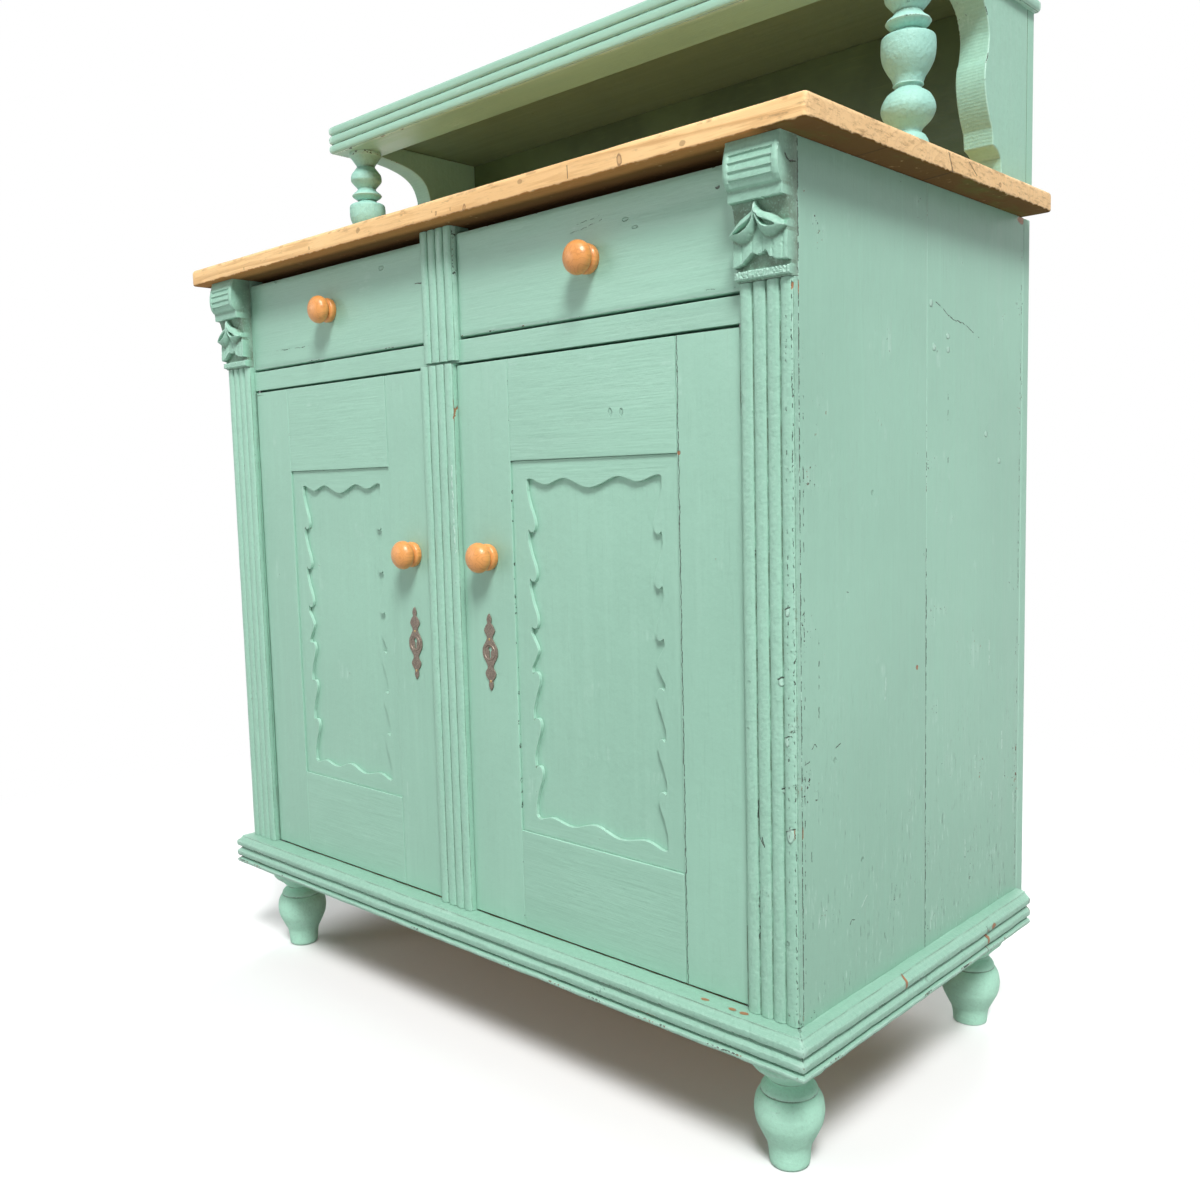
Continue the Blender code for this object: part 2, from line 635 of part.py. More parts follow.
def plinth_profile():
    """The plinth's outer face, from its foot up: (distance out from the carcass, height)."""
    base = PLINTH_PROJECTION - PLINTH_REED_DEPTH
    first_groove = PLINTH_TOP - PLINTH_LEDGE_DROP
    grooves = [FOOT_HEIGHT, first_groove - 2 * PLINTH_REED_PITCH, first_groove - PLINTH_REED_PITCH,
               first_groove]
    # Each point is a share of the reed's height and of its depth: a groove, a plain band, a sweep back.
    reed = [(0.0, 0.0), (0.06, 0.80), (0.50, 1.0), (0.62, 0.85), (0.80, 0.35)]
    profile = []
    for index in range(3):
        height = grooves[index + 1] - grooves[index]
        for share, lift in reed:
            profile.append((base + PLINTH_REED_DEPTH * lift, grooves[index] + height * share))
    profile.append((base, first_groove))
    profile.append((base, first_groove + PLINTH_LEDGE_DROP / 3))
    profile.append((PLINTH_LEDGE_PROJECTION, PLINTH_TOP))
    return profile


def make_plinth(paint):
    """Reeded moulding round the foot of the carcass, mitred at the front corners."""
    profile = plinth_profile()
    ring = [(FRONT - out, height) for out, height in profile]
    ring += [(FRONT, PLINTH_TOP), (FACE, PLINTH_TOP), (FACE, FOOT_HEIGHT), (FRONT, FOOT_HEIGHT)]
    rings = []
    for side in (-1, 1):
        rings.append([(side * (HALF_WIDTH + max(0.0, FRONT - y)), y, z) for y, z in ring])
    bm = bmesh.new()
    loops = [[bm.verts.new(point) for point in ends] for ends in rings]
    count = len(ring)
    for step in range(count):
        after = (step + 1) % count
        bm.faces.new((loops[0][step], loops[0][after], loops[1][after], loops[1][step]))
    shelf_corner = len(profile)
    for loop in loops:
        bm.faces.new(loop[:shelf_corner + 1] + loop[-1:])
        bm.faces.new(loop[shelf_corner:])
    add_piece("plinth_front", bm, paint, (0, FRONT, FOOT_HEIGHT), sharp_degrees=50)

    side_profile = profile + [(GAP, PLINTH_TOP), (GAP, FOOT_HEIGHT)]
    for side, name in ((-1, "plinth_left"), (1, "plinth_right")):
        front_end = [(side * (HALF_WIDTH + out), FRONT - out + 2 * GAP, z) for out, z in side_profile]
        rear_end = [(side * (HALF_WIDTH + out), BACK_INNER, z) for out, z in side_profile]
        add_piece(name, loft([front_end, rear_end]), paint, (side * HALF_WIDTH, FRONT, FOOT_HEIGHT),
                  sharp_degrees=50)


def make_feet(paint):
    """Four turned feet, each with a dowel into its block."""
    # Each point is a share of the foot's height and a share of the belly's radius.
    toe = [(0.0, 0.50), (0.022, 0.575)]
    belly = smooth_line([(0.12, 0.605), (0.18, 0.645), (0.275, 0.81), (0.355, 0.942), (0.457, 1.0),
                         (0.545, 0.955), (0.605, 0.835)])
    ring = [(0.612, 0.80), (0.624, 0.795), (0.632, 0.78)]
    neck = [(0.675, 0.68), (0.705, 0.58), (0.728, 0.665), (0.761, 0.78), (0.791, 0.905)]
    collar = [(0.819, 1.05), (0.842, 1.106)]
    shares = toe + belly + ring + neck + collar
    profile = [(height * FOOT_HEIGHT, width * FOOT_BELLY_RADIUS) for height, width in shares]
    shoulder = FOOT_HEIGHT - GAP
    profile += [(shoulder, FOOT_COLLAR_RADIUS), (shoulder, FOOT_DOWEL_RADIUS),
                (FOOT_HEIGHT + FOOT_DOWEL_LENGTH, FOOT_DOWEL_RADIUS)]
    for name, x, y in foot_centres():
        add_piece(name, turned(profile, (x, y, 0)), paint, (x, y, 0), sharp_degrees=40)


# Worktop and gallery

def rounded_rectangle(x0, x1, y0, y1, radius, z, steps=4):
    """A rectangle with round corners at one height."""
    ring = []
    corners = ((x1 - radius, y1 - radius, 0), (x0 + radius, y1 - radius, 90),
               (x0 + radius, y0 + radius, 180), (x1 - radius, y0 + radius, 270))
    for x, y, start in corners:
        for step in range(steps + 1):
            angle = math.radians(start + 90 * step / steps)
            ring.append((x + radius * math.cos(angle), y + radius * math.sin(angle), z))
    return ring


def make_worktop(wax):
    """The board top, with rounded corners and arrises."""
    angles = [math.pi / 2 * step / 3 for step in range(4)]
    levels = []
    for angle in angles:
        rise = TOP_LOWER_ROUND * (1 - math.cos(angle))
        levels.append((TOP_UNDER + rise, TOP_LOWER_ROUND * (1 - math.sin(angle))))
    for angle in angles:
        drop = TOP_UPPER_ROUND * (1 - math.sin(angle))
        levels.append((TOP_SURFACE - drop, TOP_UPPER_ROUND * (1 - math.cos(angle))))
    half = HALF_WIDTH + TOP_SIDE_OVERHANG
    rings = []
    for z, inset in levels:
        rings.append(rounded_rectangle(-half + inset, half - inset, TOP_FRONT + inset, TOP_BACK - inset,
                                       TOP_CORNER_RADIUS - inset, z))
    add_piece("worktop", loft(rings), wax, (0, TOP_FRONT, TOP_UNDER), sharp_degrees=50)


def make_gallery_back(dark):
    """The board behind the gallery."""
    box = (-GALLERY_HALF, GALLERY_HALF, GALLERY_BACK_FACE, TOP_BACK, GALLERY_FLOOR, GALLERY_BOARD_UNDER - GAP)
    add_piece("gallery_back", joinery([box]), dark, (0, TOP_BACK, GALLERY_FLOOR))


def make_gallery_sides(paint):
    """Shaped side boards of the gallery, with a toe on the worktop and a sweep under the shelf."""
    # Each point is a distance forward of the worktop's rear edge, as a share of the way to the back of
    # the front rail, and a share of the height under that rail.
    toe = smooth_line([(0.335, 0.065), (0.348, 0.135), (0.395, 0.170), (0.448, 0.185)])
    belly = smooth_line([(0.462, 0.269), (0.505, 0.339), (0.536, 0.409), (0.558, 0.499), (0.550, 0.584),
                         (0.524, 0.638), (0.506, 0.738), (0.519, 0.798), (0.545, 0.853), (0.595, 0.903),
                         (0.690, 0.948), (0.819, 0.978)])
    reach = TOP_BACK - GALLERY_RAIL_BACK - GAP
    front_line = [(0.335 * reach, GAP)]
    front_line += [(forward * reach, height * GALLERY_CLEAR_HEIGHT) for forward, height in toe + belly]
    rear = TOP_BACK - GALLERY_BACK_FACE + GAP
    head = GALLERY_BOARD_UNDER - GAP - TOP_SURFACE
    front_line += [(reach, GALLERY_CLEAR_HEIGHT), (reach, head), (rear, head), (rear, GAP)]
    outline = [(TOP_BACK - forward, TOP_SURFACE + height) for forward, height in front_line]
    for side, name in ((-1, "gallery_side_left"), (1, "gallery_side_right")):
        inner = side * (GALLERY_HALF - GALLERY_SIDE_THICKNESS)
        add_piece(name, prism(outline, "X", inner, side * GALLERY_HALF), paint,
                  (side * GALLERY_HALF, TOP_BACK, GALLERY_FLOOR))


def make_columns(paint):
    """Two turned columns under the gallery's front rail."""
    # Each point is a share of the clear height and a share of the balls' radius.
    base = [(0.030, 0.942), (0.070, 0.821), (0.110, 0.701)]
    ball = smooth_line([(0.145, 0.493), (0.170, 0.573), (0.200, 0.803), (0.259, 1.0), (0.327, 0.814),
                        (0.359, 0.493)])
    vase = smooth_line([(0.384, 0.591), (0.409, 0.682), (0.499, 0.949), (0.562, 1.0), (0.623, 0.741)])
    disc = [(0.646, 0.493), (0.671, 0.774), (0.682, 0.832), (0.694, 0.774), (0.733, 0.493)]
    head = [(0.766, 0.701), (0.788, 0.832), (0.805, 0.858), (0.838, 0.818), (0.868, 0.657), (0.898, 0.493),
            (0.948, 0.712)]
    profile = [(GAP, 0.956 * COLUMN_BALL_RADIUS)]
    for share, width in base + ball + vase + disc + head:
        profile.append((share * GALLERY_CLEAR_HEIGHT, width * COLUMN_BALL_RADIUS))
    profile.append((GALLERY_CLEAR_HEIGHT - GAP, 0.876 * COLUMN_BALL_RADIUS))
    for side, name in ((-1, "column_left"), (1, "column_right")):
        centre = (side * (HALF_WIDTH - COLUMN_INSET_X), GALLERY_FRONT + COLUMN_SETBACK, TOP_SURFACE)
        add_piece(name, turned(profile, centre), paint, centre, sharp_degrees=40)


def make_gallery_shelf(paint):
    """The shelf on the gallery, its front rail, and the reeded moulding round its edge."""
    board = (-GALLERY_HALF, GALLERY_HALF, GALLERY_FRONT, TOP_BACK, GALLERY_BOARD_UNDER, GALLERY_TOP)
    rail = (-GALLERY_HALF, GALLERY_HALF, GALLERY_FRONT, GALLERY_RAIL_BACK, GALLERY_HEAD, GALLERY_BOARD_UNDER)
    add_piece("gallery_shelf", joinery([board, rail]), paint, (0, TOP_BACK, GALLERY_TOP))

    base = GALLERY_MOULDING_THICKNESS - GALLERY_REED_DEPTH
    profile = []
    for height, lift in reeds(GALLERY_HEAD, GALLERY_TOP, GALLERY_REED_COUNT, GALLERY_REED_DEPTH):
        profile.append((GAP + base + lift, height))
    profile += [(GAP, GALLERY_TOP), (GAP, GALLERY_HEAD)]
    rings = []
    for side, at_front in ((-1, False), (-1, True), (1, True), (1, False)):
        ring = []
        for out, z in profile:
            y = GALLERY_FRONT - out if at_front else TOP_BACK
            ring.append((side * (GALLERY_HALF + out), y, z))
        rings.append(ring)
    add_piece("gallery_moulding", loft(rings), paint, (0, GALLERY_FRONT, GALLERY_HEAD), sharp_degrees=50)


# Doors

def fret_side(middle, end, narrow, wide):
    """Inner edge of half a side strip, from the middle outwards: (height offset, strip width)."""
    line = [(0.0, wide - 0.0015), (0.010, (narrow + wide) / 2)]
    for hook in range(3):
        tip = FRET_FIRST_HOOK + hook * FRET_HOOK_STEP
        line += [(tip - 0.007, narrow), (tip + 0.0025, narrow + 0.0004), (tip, narrow + 0.0050),
                 (tip + 0.0050, wide - 0.0010), (tip + 0.0130, wide), (tip + 0.0290, (narrow + wide) / 2)]
    return [(offset, width) for offset, width in line if offset < abs(end - middle) - 0.012]


def fret_wave(share_points, low, high):
    """A smooth wave along a top or bottom strip: (share of the length, strip width)."""
    return smooth_line([(share, low + (high - low) * rise) for share, rise in share_points])


def fret_outline(left, right, bottom, top):
    """The inner edge of the fret strips round one panel, as a closed loop of (x, z)."""
    inner_left = left + FRET_NARROW
    inner_right = right - FRET_NARROW
    length = inner_right - inner_left
    top_line = fret_wave([(0.0, 0.05), (0.05, 0.0), (0.17, 0.6), (0.31, 0.0), (0.5, 1.0), (0.69, 0.0),
                          (0.83, 0.6), (0.95, 0.0), (1.0, 0.05)], FRET_TOP_WIDTH, FRET_TOP_WIDTH + 0.0107)
    bottom_line = fret_wave([(0.0, 0.4), (0.04, 0.0), (0.15, 0.55), (0.31, 0.0), (0.5, 1.0), (0.69, 0.0),
                             (0.85, 0.55), (0.96, 0.0), (1.0, 0.4)], FRET_BOTTOM_WIDTH,
                            FRET_BOTTOM_WIDTH + 0.0087)
    middle = (bottom + top) / 2
    half = fret_side(middle, top, FRET_NARROW, FRET_WIDE)
    loop = [(inner_left + length * share, top - width) for share, width in top_line]
    loop += [(right - width, middle + offset) for offset, width in reversed(half)]
    loop += [(right - width, middle - offset) for offset, width in half[1:]]
    loop += [(inner_left + length * share, bottom + width) for share, width in reversed(bottom_line)]
    loop += [(left + width, middle - offset) for offset, width in reversed(half)]
    loop += [(left + width, middle + offset) for offset, width in half[1:]]
    return loop


def escutcheon_outline(middle_x, middle_z):
    """The plate's outline: a round middle, two lobes and two tips, alike above and below."""
    # Each point is a share of half the height and a share of half the width.
    half_line = [(0.0, 1.0), (0.10, 0.94), (0.19, 0.74), (0.30, 0.52), (0.38, 0.37), (0.46, 0.50),
                 (0.545, 0.75), (0.63, 0.50), (0.735, 0.31), (0.85, 0.35), (0.94, 0.24), (1.0, 0.05)]
    loop = []
    for x_side, z_side in ((1, 1), (-1, 1), (-1, -1), (1, -1)):
        quarter = half_line if x_side == z_side else half_line[::-1]
        for share, width in quarter[:-1]:
            loop.append((middle_x + x_side * width * ESCUTCHEON_WIDTH / 2,
                         middle_z + z_side * share * ESCUTCHEON_HEIGHT / 2))
    return loop


def keyhole_outline(middle_x, middle_z):
    """A round eye with a slot below it."""
    eye = middle_z + KEYHOLE_LENGTH / 2 - KEYHOLE_RADIUS
    slot_angle = math.asin(KEYHOLE_SLOT_WIDTH / 2 / KEYHOLE_RADIUS)
    loop = []
    for step in range(9):
        angle = -math.pi / 2 + slot_angle + (2 * math.pi - 2 * slot_angle) * step / 8
        loop.append((middle_x + KEYHOLE_RADIUS * math.cos(angle), eye + KEYHOLE_RADIUS * math.sin(angle)))
    loop.append((middle_x - KEYHOLE_SLOT_WIDTH / 2, middle_z - KEYHOLE_LENGTH / 2))
    loop.append((middle_x + KEYHOLE_SLOT_WIDTH / 2, middle_z - KEYHOLE_LENGTH / 2))
    return loop


def make_knob(name, x, z, material, carrier):
    """A turned knob on a face, with a shank behind it."""
    # Each point is a share of the knob's length from the face and a share of its greatest radius.
    rose = [(0.04, 0.86), (0.15, 0.90), (0.25, 0.86), (0.31, 0.72)]
    head = smooth_line([(0.34, 0.62), (0.42, 0.86), (0.56, 1.0), (0.74, 0.95), (0.89, 0.72), (1.0, 0.25)])
    profile = [(-KNOB_SHANK_LENGTH, KNOB_SHANK_RADIUS), (GAP, KNOB_SHANK_RADIUS), (GAP, 0.80 * KNOB_RADIUS)]
    profile += [(share * KNOB_LENGTH, width * KNOB_RADIUS) for share, width in rose + head]
    bm = turned(profile, (x, FACE, z), axis="Y", segments=KNOB_SEGMENTS)
    add_piece(name, bm, material, (x, FACE, z), carrier, sharp_degrees=45)


def knob_hole(x, z):
    """The hole that takes a knob's shank."""
    return ((x, z), KNOB_SHANK_RADIUS + GAP, FRONT, FACE + KNOB_SHANK_LENGTH + GAP, "Y")


def make_door(hand, side, free_edge, lock_stile, knob_inset, plate_inset, paint, turned_wood, brass, steel):
    """A framed door on two pivots. side is -1 for the left door and 1 for the right one."""
    hinge_edge = side * (OPENING_EDGE - SIDE_CLEARANCE)
    hinge_inner = hinge_edge - side * HINGE_STILE_WIDTH
    lock_inner = free_edge + side * lock_stile
    opening_bottom = DOOR_BOTTOM + BOTTOM_RAIL_HEIGHT
    opening_top = DOOR_TOP - TOP_RAIL_HEIGHT
    carrier = add_carrier(f"door_{hand}_pivot", (side * PIVOT_X, PIVOT_Y, DOOR_BOTTOM))
    depth = (FACE, DOOR_BACK)
    panel_front = FACE + PANEL_SETBACK
    groove_y = (panel_front - GAP, panel_front + PANEL_THICKNESS + GAP)
    tenon_y = (panel_front, panel_front + PANEL_THICKNESS)

    rails = (("bottom_rail", DOOR_BOTTOM, opening_bottom, DOOR_BOTTOM + DOOR_TENON_SHOULDER,
              opening_bottom - DOOR_TENON_SHOULDER, opening_bottom),
             ("top_rail", opening_top, DOOR_TOP, opening_top + DOOR_TENON_SHOULDER,
              DOOR_TOP - DOOR_TENON_SHOULDER, opening_top))
    stiles = (("hinge_stile", hinge_edge, hinge_inner, -side), ("lock_stile", free_edge, lock_inner, side))
    stile_pieces = {}
    for name, outer, inner, inward in stiles:
        cuts = [(inner - inward * GROOVE_DEPTH, inner + inward * GAP, *groove_y,
                 opening_bottom - GROOVE_DEPTH, opening_top + GROOVE_DEPTH)]
        for _, _, _, tenon_bottom, tenon_top, _ in rails:
            cuts.append((inner - inward * DOOR_TENON_LENGTH, inner + inward * GAP, *groove_y,
                         tenon_bottom - GAP, tenon_top + GAP))
        bm = joinery([(outer, inner, *depth, DOOR_BOTTOM, DOOR_TOP)], cuts)
        if name == "hinge_stile":
            round_edges(bm, lambda co, edge=outer: abs(co.x - edge) < 1e-6 and abs(co.y - FACE) < 1e-6,
                        PIVOT_DEPTH, 3)
        stile_pieces[name] = add_piece(f"door_{hand}_{name}", bm, paint, (outer, FACE, DOOR_BOTTOM), carrier)

    for name, bottom, top, tenon_bottom, tenon_top, opening in rails:
        near = hinge_inner - side * GAP
        far = lock_inner + side * GAP
        solids = [(near, far, *depth, bottom, top),
                  (near, near + side * (DOOR_TENON_LENGTH - GAP), *tenon_y, tenon_bottom, tenon_top),
                  (far, far - side * (DOOR_TENON_LENGTH - GAP), *tenon_y, tenon_bottom, tenon_top)]
        groove = (near + side * GAP, far - side * GAP, *groove_y,
                  opening - GROOVE_DEPTH if name == "bottom_rail" else opening - GAP,
                  opening + GAP if name == "bottom_rail" else opening + GROOVE_DEPTH)
        add_piece(f"door_{hand}_{name}", joinery(solids, [groove]), paint, (near, FACE, bottom), carrier)

    reach = GROOVE_DEPTH - GAP
    panel = (hinge_inner + side * reach, lock_inner - side * reach, *tenon_y,
             opening_bottom - reach, opening_top + reach)
    add_piece(f"door_{hand}_panel", joinery([panel]), paint, (hinge_inner, panel_front, opening_bottom),
              carrier)

    left = min(hinge_inner, lock_inner) + GAP
    right = max(hinge_inner, lock_inner) - GAP
    bottom = opening_bottom + GAP
    top = opening_top - GAP
    outline = [(left, bottom), (right, bottom), (right, top), (left, top)]
    bm = pierced_plate(outline, fret_outline(left, right, bottom, top), "Y", FACE + FRET_SETBACK,
                       panel_front - GAP)
    add_piece(f"door_{hand}_fret", bm, paint, (left, panel_front, bottom), carrier)

    knob_x = free_edge + side * knob_inset
    knob_z = DOOR_BOTTOM + DOOR_KNOB_RISE
    make_knob(f"door_{hand}_knob", knob_x, knob_z, turned_wood, carrier)
    bore(stile_pieces["lock_stile"], [knob_hole(knob_x, knob_z)])
    pivot_radius = PIVOT_RADIUS + RUNNING_FIT
    pivot_centre = (side * PIVOT_X, PIVOT_Y)
    lower_end = DOOR_BOTTOM + PIVOT_LENGTH + GAP
    upper_end = DOOR_TOP - PIVOT_LENGTH - GAP
    bore(stile_pieces["hinge_stile"],
         [(pivot_centre, pivot_radius, FOOT_HEIGHT, lower_end, "Z"),
          (pivot_centre, pivot_radius, upper_end, RAIL_TOP, "Z")])

    plate_x = free_edge + side * plate_inset
    plate_z = DOOR_BOTTOM + ESCUTCHEON_RISE
    bm = pierced_plate(escutcheon_outline(plate_x, plate_z), keyhole_outline(plate_x, plate_z), "Y",
                       FACE - GAP - ESCUTCHEON_THICKNESS, FACE - GAP)
    add_piece(f"door_{hand}_escutcheon", bm, brass, (plate_x, FACE, plate_z), carrier)
    lock_front = DOOR_BACK + GAP
    lock = (plate_x - LOCK_WIDTH / 2, plate_x + LOCK_WIDTH / 2, lock_front, lock_front + LOCK_THICKNESS,
            plate_z - LOCK_HEIGHT / 2, plate_z + LOCK_HEIGHT / 2)
    add_piece(f"door_{hand}_lock_case", joinery([lock]), steel, (plate_x, DOOR_BACK, plate_z), carrier)


def make_pivots(steel):
    """Steel pivot pins. The lower ones have a collar that carries the door."""
    for side, hand in ((-1, "left"), (1, "right")):
        centre = (side * PIVOT_X, PIVOT_Y, 0)
        lower = [(BOARD_TOP - PIVOT_LENGTH, PIVOT_RADIUS), (BOARD_TOP + GAP, PIVOT_RADIUS),
                 (BOARD_TOP + GAP, PIVOT_COLLAR_RADIUS), (DOOR_BOTTOM - GAP, PIVOT_COLLAR_RADIUS),
                 (DOOR_BOTTOM - GAP, PIVOT_RADIUS), (DOOR_BOTTOM + PIVOT_LENGTH, PIVOT_RADIUS)]
        upper = [(DOOR_TOP - PIVOT_LENGTH, PIVOT_RADIUS), (RAIL_BOTTOM + PIVOT_LENGTH, PIVOT_RADIUS)]
        for name, profile in (("lower", lower), ("upper", upper)):
            bm = turned(profile, centre, segments=KNOB_SEGMENTS)
            add_piece(f"pivot_{hand}_{name}", bm, steel, (centre[0], centre[1], profile[0][0]))


# Drawers

def make_drawer(hand, side, inner_edge, knob_inset, knob_drop, paint, pine, turned_wood):
    """A drawer: shaped front, glued box and knob."""
    outer_edge = side * (OPENING_EDGE - SIDE_CLEARANCE)
    near_edge = inner_edge + side * SIDE_CLEARANCE
    left = min(outer_edge, near_edge)
    right = max(outer_edge, near_edge)
    carrier = add_carrier(f"drawer_{hand}_slide", ((left + right) / 2, FACE, RAIL_TOP))
    front_back = FACE + DRAWER_FRONT_THICKNESS
    bm = joinery([(left, right, FACE, front_back, DRAWER_BOTTOM, DRAWER_TOP)])
    round_edges(bm, lambda co: abs(co.y - FACE) < 1e-6, DRAWER_FRONT_ROUND, 2)
    knob_x = near_edge + side * knob_inset
    knob_z = DRAWER_TOP - knob_drop
    front = add_piece(f"drawer_{hand}_front", bm, paint, (knob_x, FACE, DRAWER_BOTTOM), carrier)
    bore(front, [knob_hole(knob_x, knob_z)])
    make_knob(f"drawer_{hand}_knob", knob_x, knob_z, turned_wood, carrier)

    box_left = left + DRAWER_BOX_INSET
    box_right = right - DRAWER_BOX_INSET
    box_front = front_back + GAP
    box_back = BACK_INNER - DRAWER_REAR_CLEARANCE
    box_bottom = RAIL_TOP + GAP
    box_top = box_bottom + DRAWER_BOX_HEIGHT
    floor = box_bottom + DRAWER_BOTTOM_LIFT
    walls = [(box_left, box_left + DRAWER_WALL, box_front, box_back, box_bottom, box_top),
             (box_right - DRAWER_WALL, box_right, box_front, box_back, box_bottom, box_top),
             (box_left, box_right, box_back - DRAWER_WALL, box_back, box_bottom, box_top),
             (box_left, box_right, box_front, box_back, floor, floor + DRAWER_BOTTOM_THICKNESS)]
    add_piece(f"drawer_{hand}_box", joinery(walls), pine, ((left + right) / 2, box_front, box_bottom),
              carrier)


def main():
    """Clear the scene and build the cupboard."""
    for old in list(bpy.data.objects):
        bpy.data.objects.remove(old, do_unlink=True)

    paint = make_material("sage_paint", (0.33, 0.58, 0.45), 0.55)
    dark = make_material("gallery_back_paint", (0.05, 0.06, 0.03), 0.60)
    wax = make_material("waxed_worktop", (0.75, 0.46, 0.19), 0.45)
    pine = make_material("raw_pine", (0.66, 0.45, 0.24), 0.70)
    turned_wood = make_material("waxed_knob", (0.58, 0.26, 0.09), 0.35)
    brass = make_material("aged_brass", (0.16, 0.12, 0.09), 0.45, 0.9)
    steel = make_material("steel", (0.35, 0.35, 0.36), 0.40, 1.0)

    make_sides(paint)
    make_back(paint)
    make_bottom_board(pine)
    make_inner_shelf(pine)
    make_front_frame(paint)
    make_drawer_bed(pine)
    make_strips(paint)
    make_capitals(paint)
    make_plinth(paint)
    make_feet(paint)
    make_worktop(wax)
    make_gallery_back(dark)
    make_gallery_sides(paint)
    make_columns(paint)
    make_gallery_shelf(paint)
    make_door("left", -1, LOWER_LEFT - SIDE_CLEARANCE, LEFT_LOCK_STILE_WIDTH, LEFT_DOOR_KNOB_INSET,
              LEFT_ESCUTCHEON_INSET, paint, turned_wood, brass, steel)
    make_door("right", 1, LOWER_RIGHT + SIDE_CLEARANCE, RIGHT_LOCK_STILE_WIDTH, RIGHT_DOOR_KNOB_INSET,
              RIGHT_ESCUTCHEON_INSET, paint, turned_wood, brass, steel)
    make_pivots(steel)
    make_drawer("left", -1, UPPER_LEFT, LEFT_DRAWER_KNOB_INSET, LEFT_DRAWER_KNOB_DROP, paint, pine,
                turned_wood)
    make_drawer("right", 1, UPPER_RIGHT, RIGHT_DRAWER_KNOB_INSET, RIGHT_DRAWER_KNOB_DROP, paint, pine,
                turned_wood)


main()
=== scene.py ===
# %% [markdown]
# # A painted pine cupboard with a turned gallery
#
# The cupboard stands on turned feet. It has a reeded plinth, two framed doors, two drawers,
# reeded strips under carved capitals, a waxed worktop, and a gallery on two turned columns.
# The solid model gives every piece its place. This script gives the pieces their worn edges,
# carving, wood and paint.

import math

import bmesh
import bpy
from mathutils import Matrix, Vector, noise


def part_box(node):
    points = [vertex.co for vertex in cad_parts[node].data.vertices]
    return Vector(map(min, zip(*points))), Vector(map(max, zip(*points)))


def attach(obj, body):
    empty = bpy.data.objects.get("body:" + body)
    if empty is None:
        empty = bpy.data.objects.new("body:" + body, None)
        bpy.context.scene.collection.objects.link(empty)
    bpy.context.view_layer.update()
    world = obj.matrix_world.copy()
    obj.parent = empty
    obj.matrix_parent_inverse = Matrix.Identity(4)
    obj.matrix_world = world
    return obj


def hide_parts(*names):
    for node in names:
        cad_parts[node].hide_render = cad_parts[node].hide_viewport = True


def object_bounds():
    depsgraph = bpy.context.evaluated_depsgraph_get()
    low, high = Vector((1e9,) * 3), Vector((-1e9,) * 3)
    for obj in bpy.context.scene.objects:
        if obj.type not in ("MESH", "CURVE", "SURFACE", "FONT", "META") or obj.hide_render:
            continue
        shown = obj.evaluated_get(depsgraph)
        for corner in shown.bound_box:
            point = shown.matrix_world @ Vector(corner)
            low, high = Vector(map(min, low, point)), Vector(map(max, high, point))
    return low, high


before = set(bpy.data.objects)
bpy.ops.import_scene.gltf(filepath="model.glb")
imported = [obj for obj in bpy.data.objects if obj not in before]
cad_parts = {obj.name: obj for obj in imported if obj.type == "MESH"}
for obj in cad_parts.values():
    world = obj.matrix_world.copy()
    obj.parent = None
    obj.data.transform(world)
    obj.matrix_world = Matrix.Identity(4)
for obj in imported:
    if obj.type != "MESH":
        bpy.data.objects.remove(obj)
cad_low, cad_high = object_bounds()
print("the solid model measures", [round(size, 4) for size in cad_high - cad_low])

# %% [markdown]
# ## Places taken from the solid model
#
# A visible piece has to sit exactly where the solid model has it, or doors and drawers would no longer
# close. The sizes could be typed in again, but they are read from the model's own pieces, so that they
# always agree with it.

# %% Places
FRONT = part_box("corner_strip_right")[0].y
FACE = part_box("door_right_lock_stile")[0].y
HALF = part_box("side_panel_right")[1].x
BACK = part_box("back_boards")[1].y
FOOT_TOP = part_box("plinth_front")[0].z
TOP_LOW, TOP_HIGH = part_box("worktop")
GALLERY_LOW, GALLERY_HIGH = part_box("gallery_shelf")
ROOT = "carcass"
MM = 0.001
print("front", round(FRONT, 4), "face", round(FACE, 4), "half width", round(HALF, 4))

# %% [markdown]
# ## Helpers for modelling
#
# Most pieces start as a primitive or a drawn outline and are shaped in edit mode. An operator works on
# whatever is selected, so each helper first clears the selection and then picks faces or edges by their
# place or direction, as a hand would.

# %% Selecting
def deselect():
    """Leave edit mode and clear the selection."""
    if bpy.context.mode != "OBJECT":
        bpy.ops.object.mode_set(mode="OBJECT")
    bpy.ops.object.select_all(action="DESELECT")


def edit(piece):
    """Open one piece in edit mode with everything in it selected."""
    deselect()
    piece.select_set(True)
    bpy.context.view_layer.objects.active = piece
    bpy.ops.object.mode_set(mode="EDIT")
    bpy.ops.mesh.select_all(action="SELECT")


def leave():
    """Back to object mode."""
    bpy.ops.object.mode_set(mode="OBJECT")


def pick(piece, kind, test):
    """In edit mode, select the edges or faces that pass a test, and only those."""
    bpy.ops.mesh.select_mode(type=kind)
    bpy.ops.mesh.select_all(action="DESELECT")
    shape = bmesh.from_edit_mesh(piece.data)
    for part in shape.edges if kind == "EDGE" else shape.faces:
        if test(part):
            part.select_set(True)
    shape.select_flush_mode()
    bmesh.update_edit_mesh(piece.data)


def middle(part):
    """The middle of an edge or a face."""
    return sum((vert.co for vert in part.verts), Vector()) / len(part.verts)


def axis_vector(axis):
    """A unit vector along axis 0, 1 or 2."""
    return Vector([1.0 if index == axis else 0.0 for index in range(3)])


print("helpers that select by place")

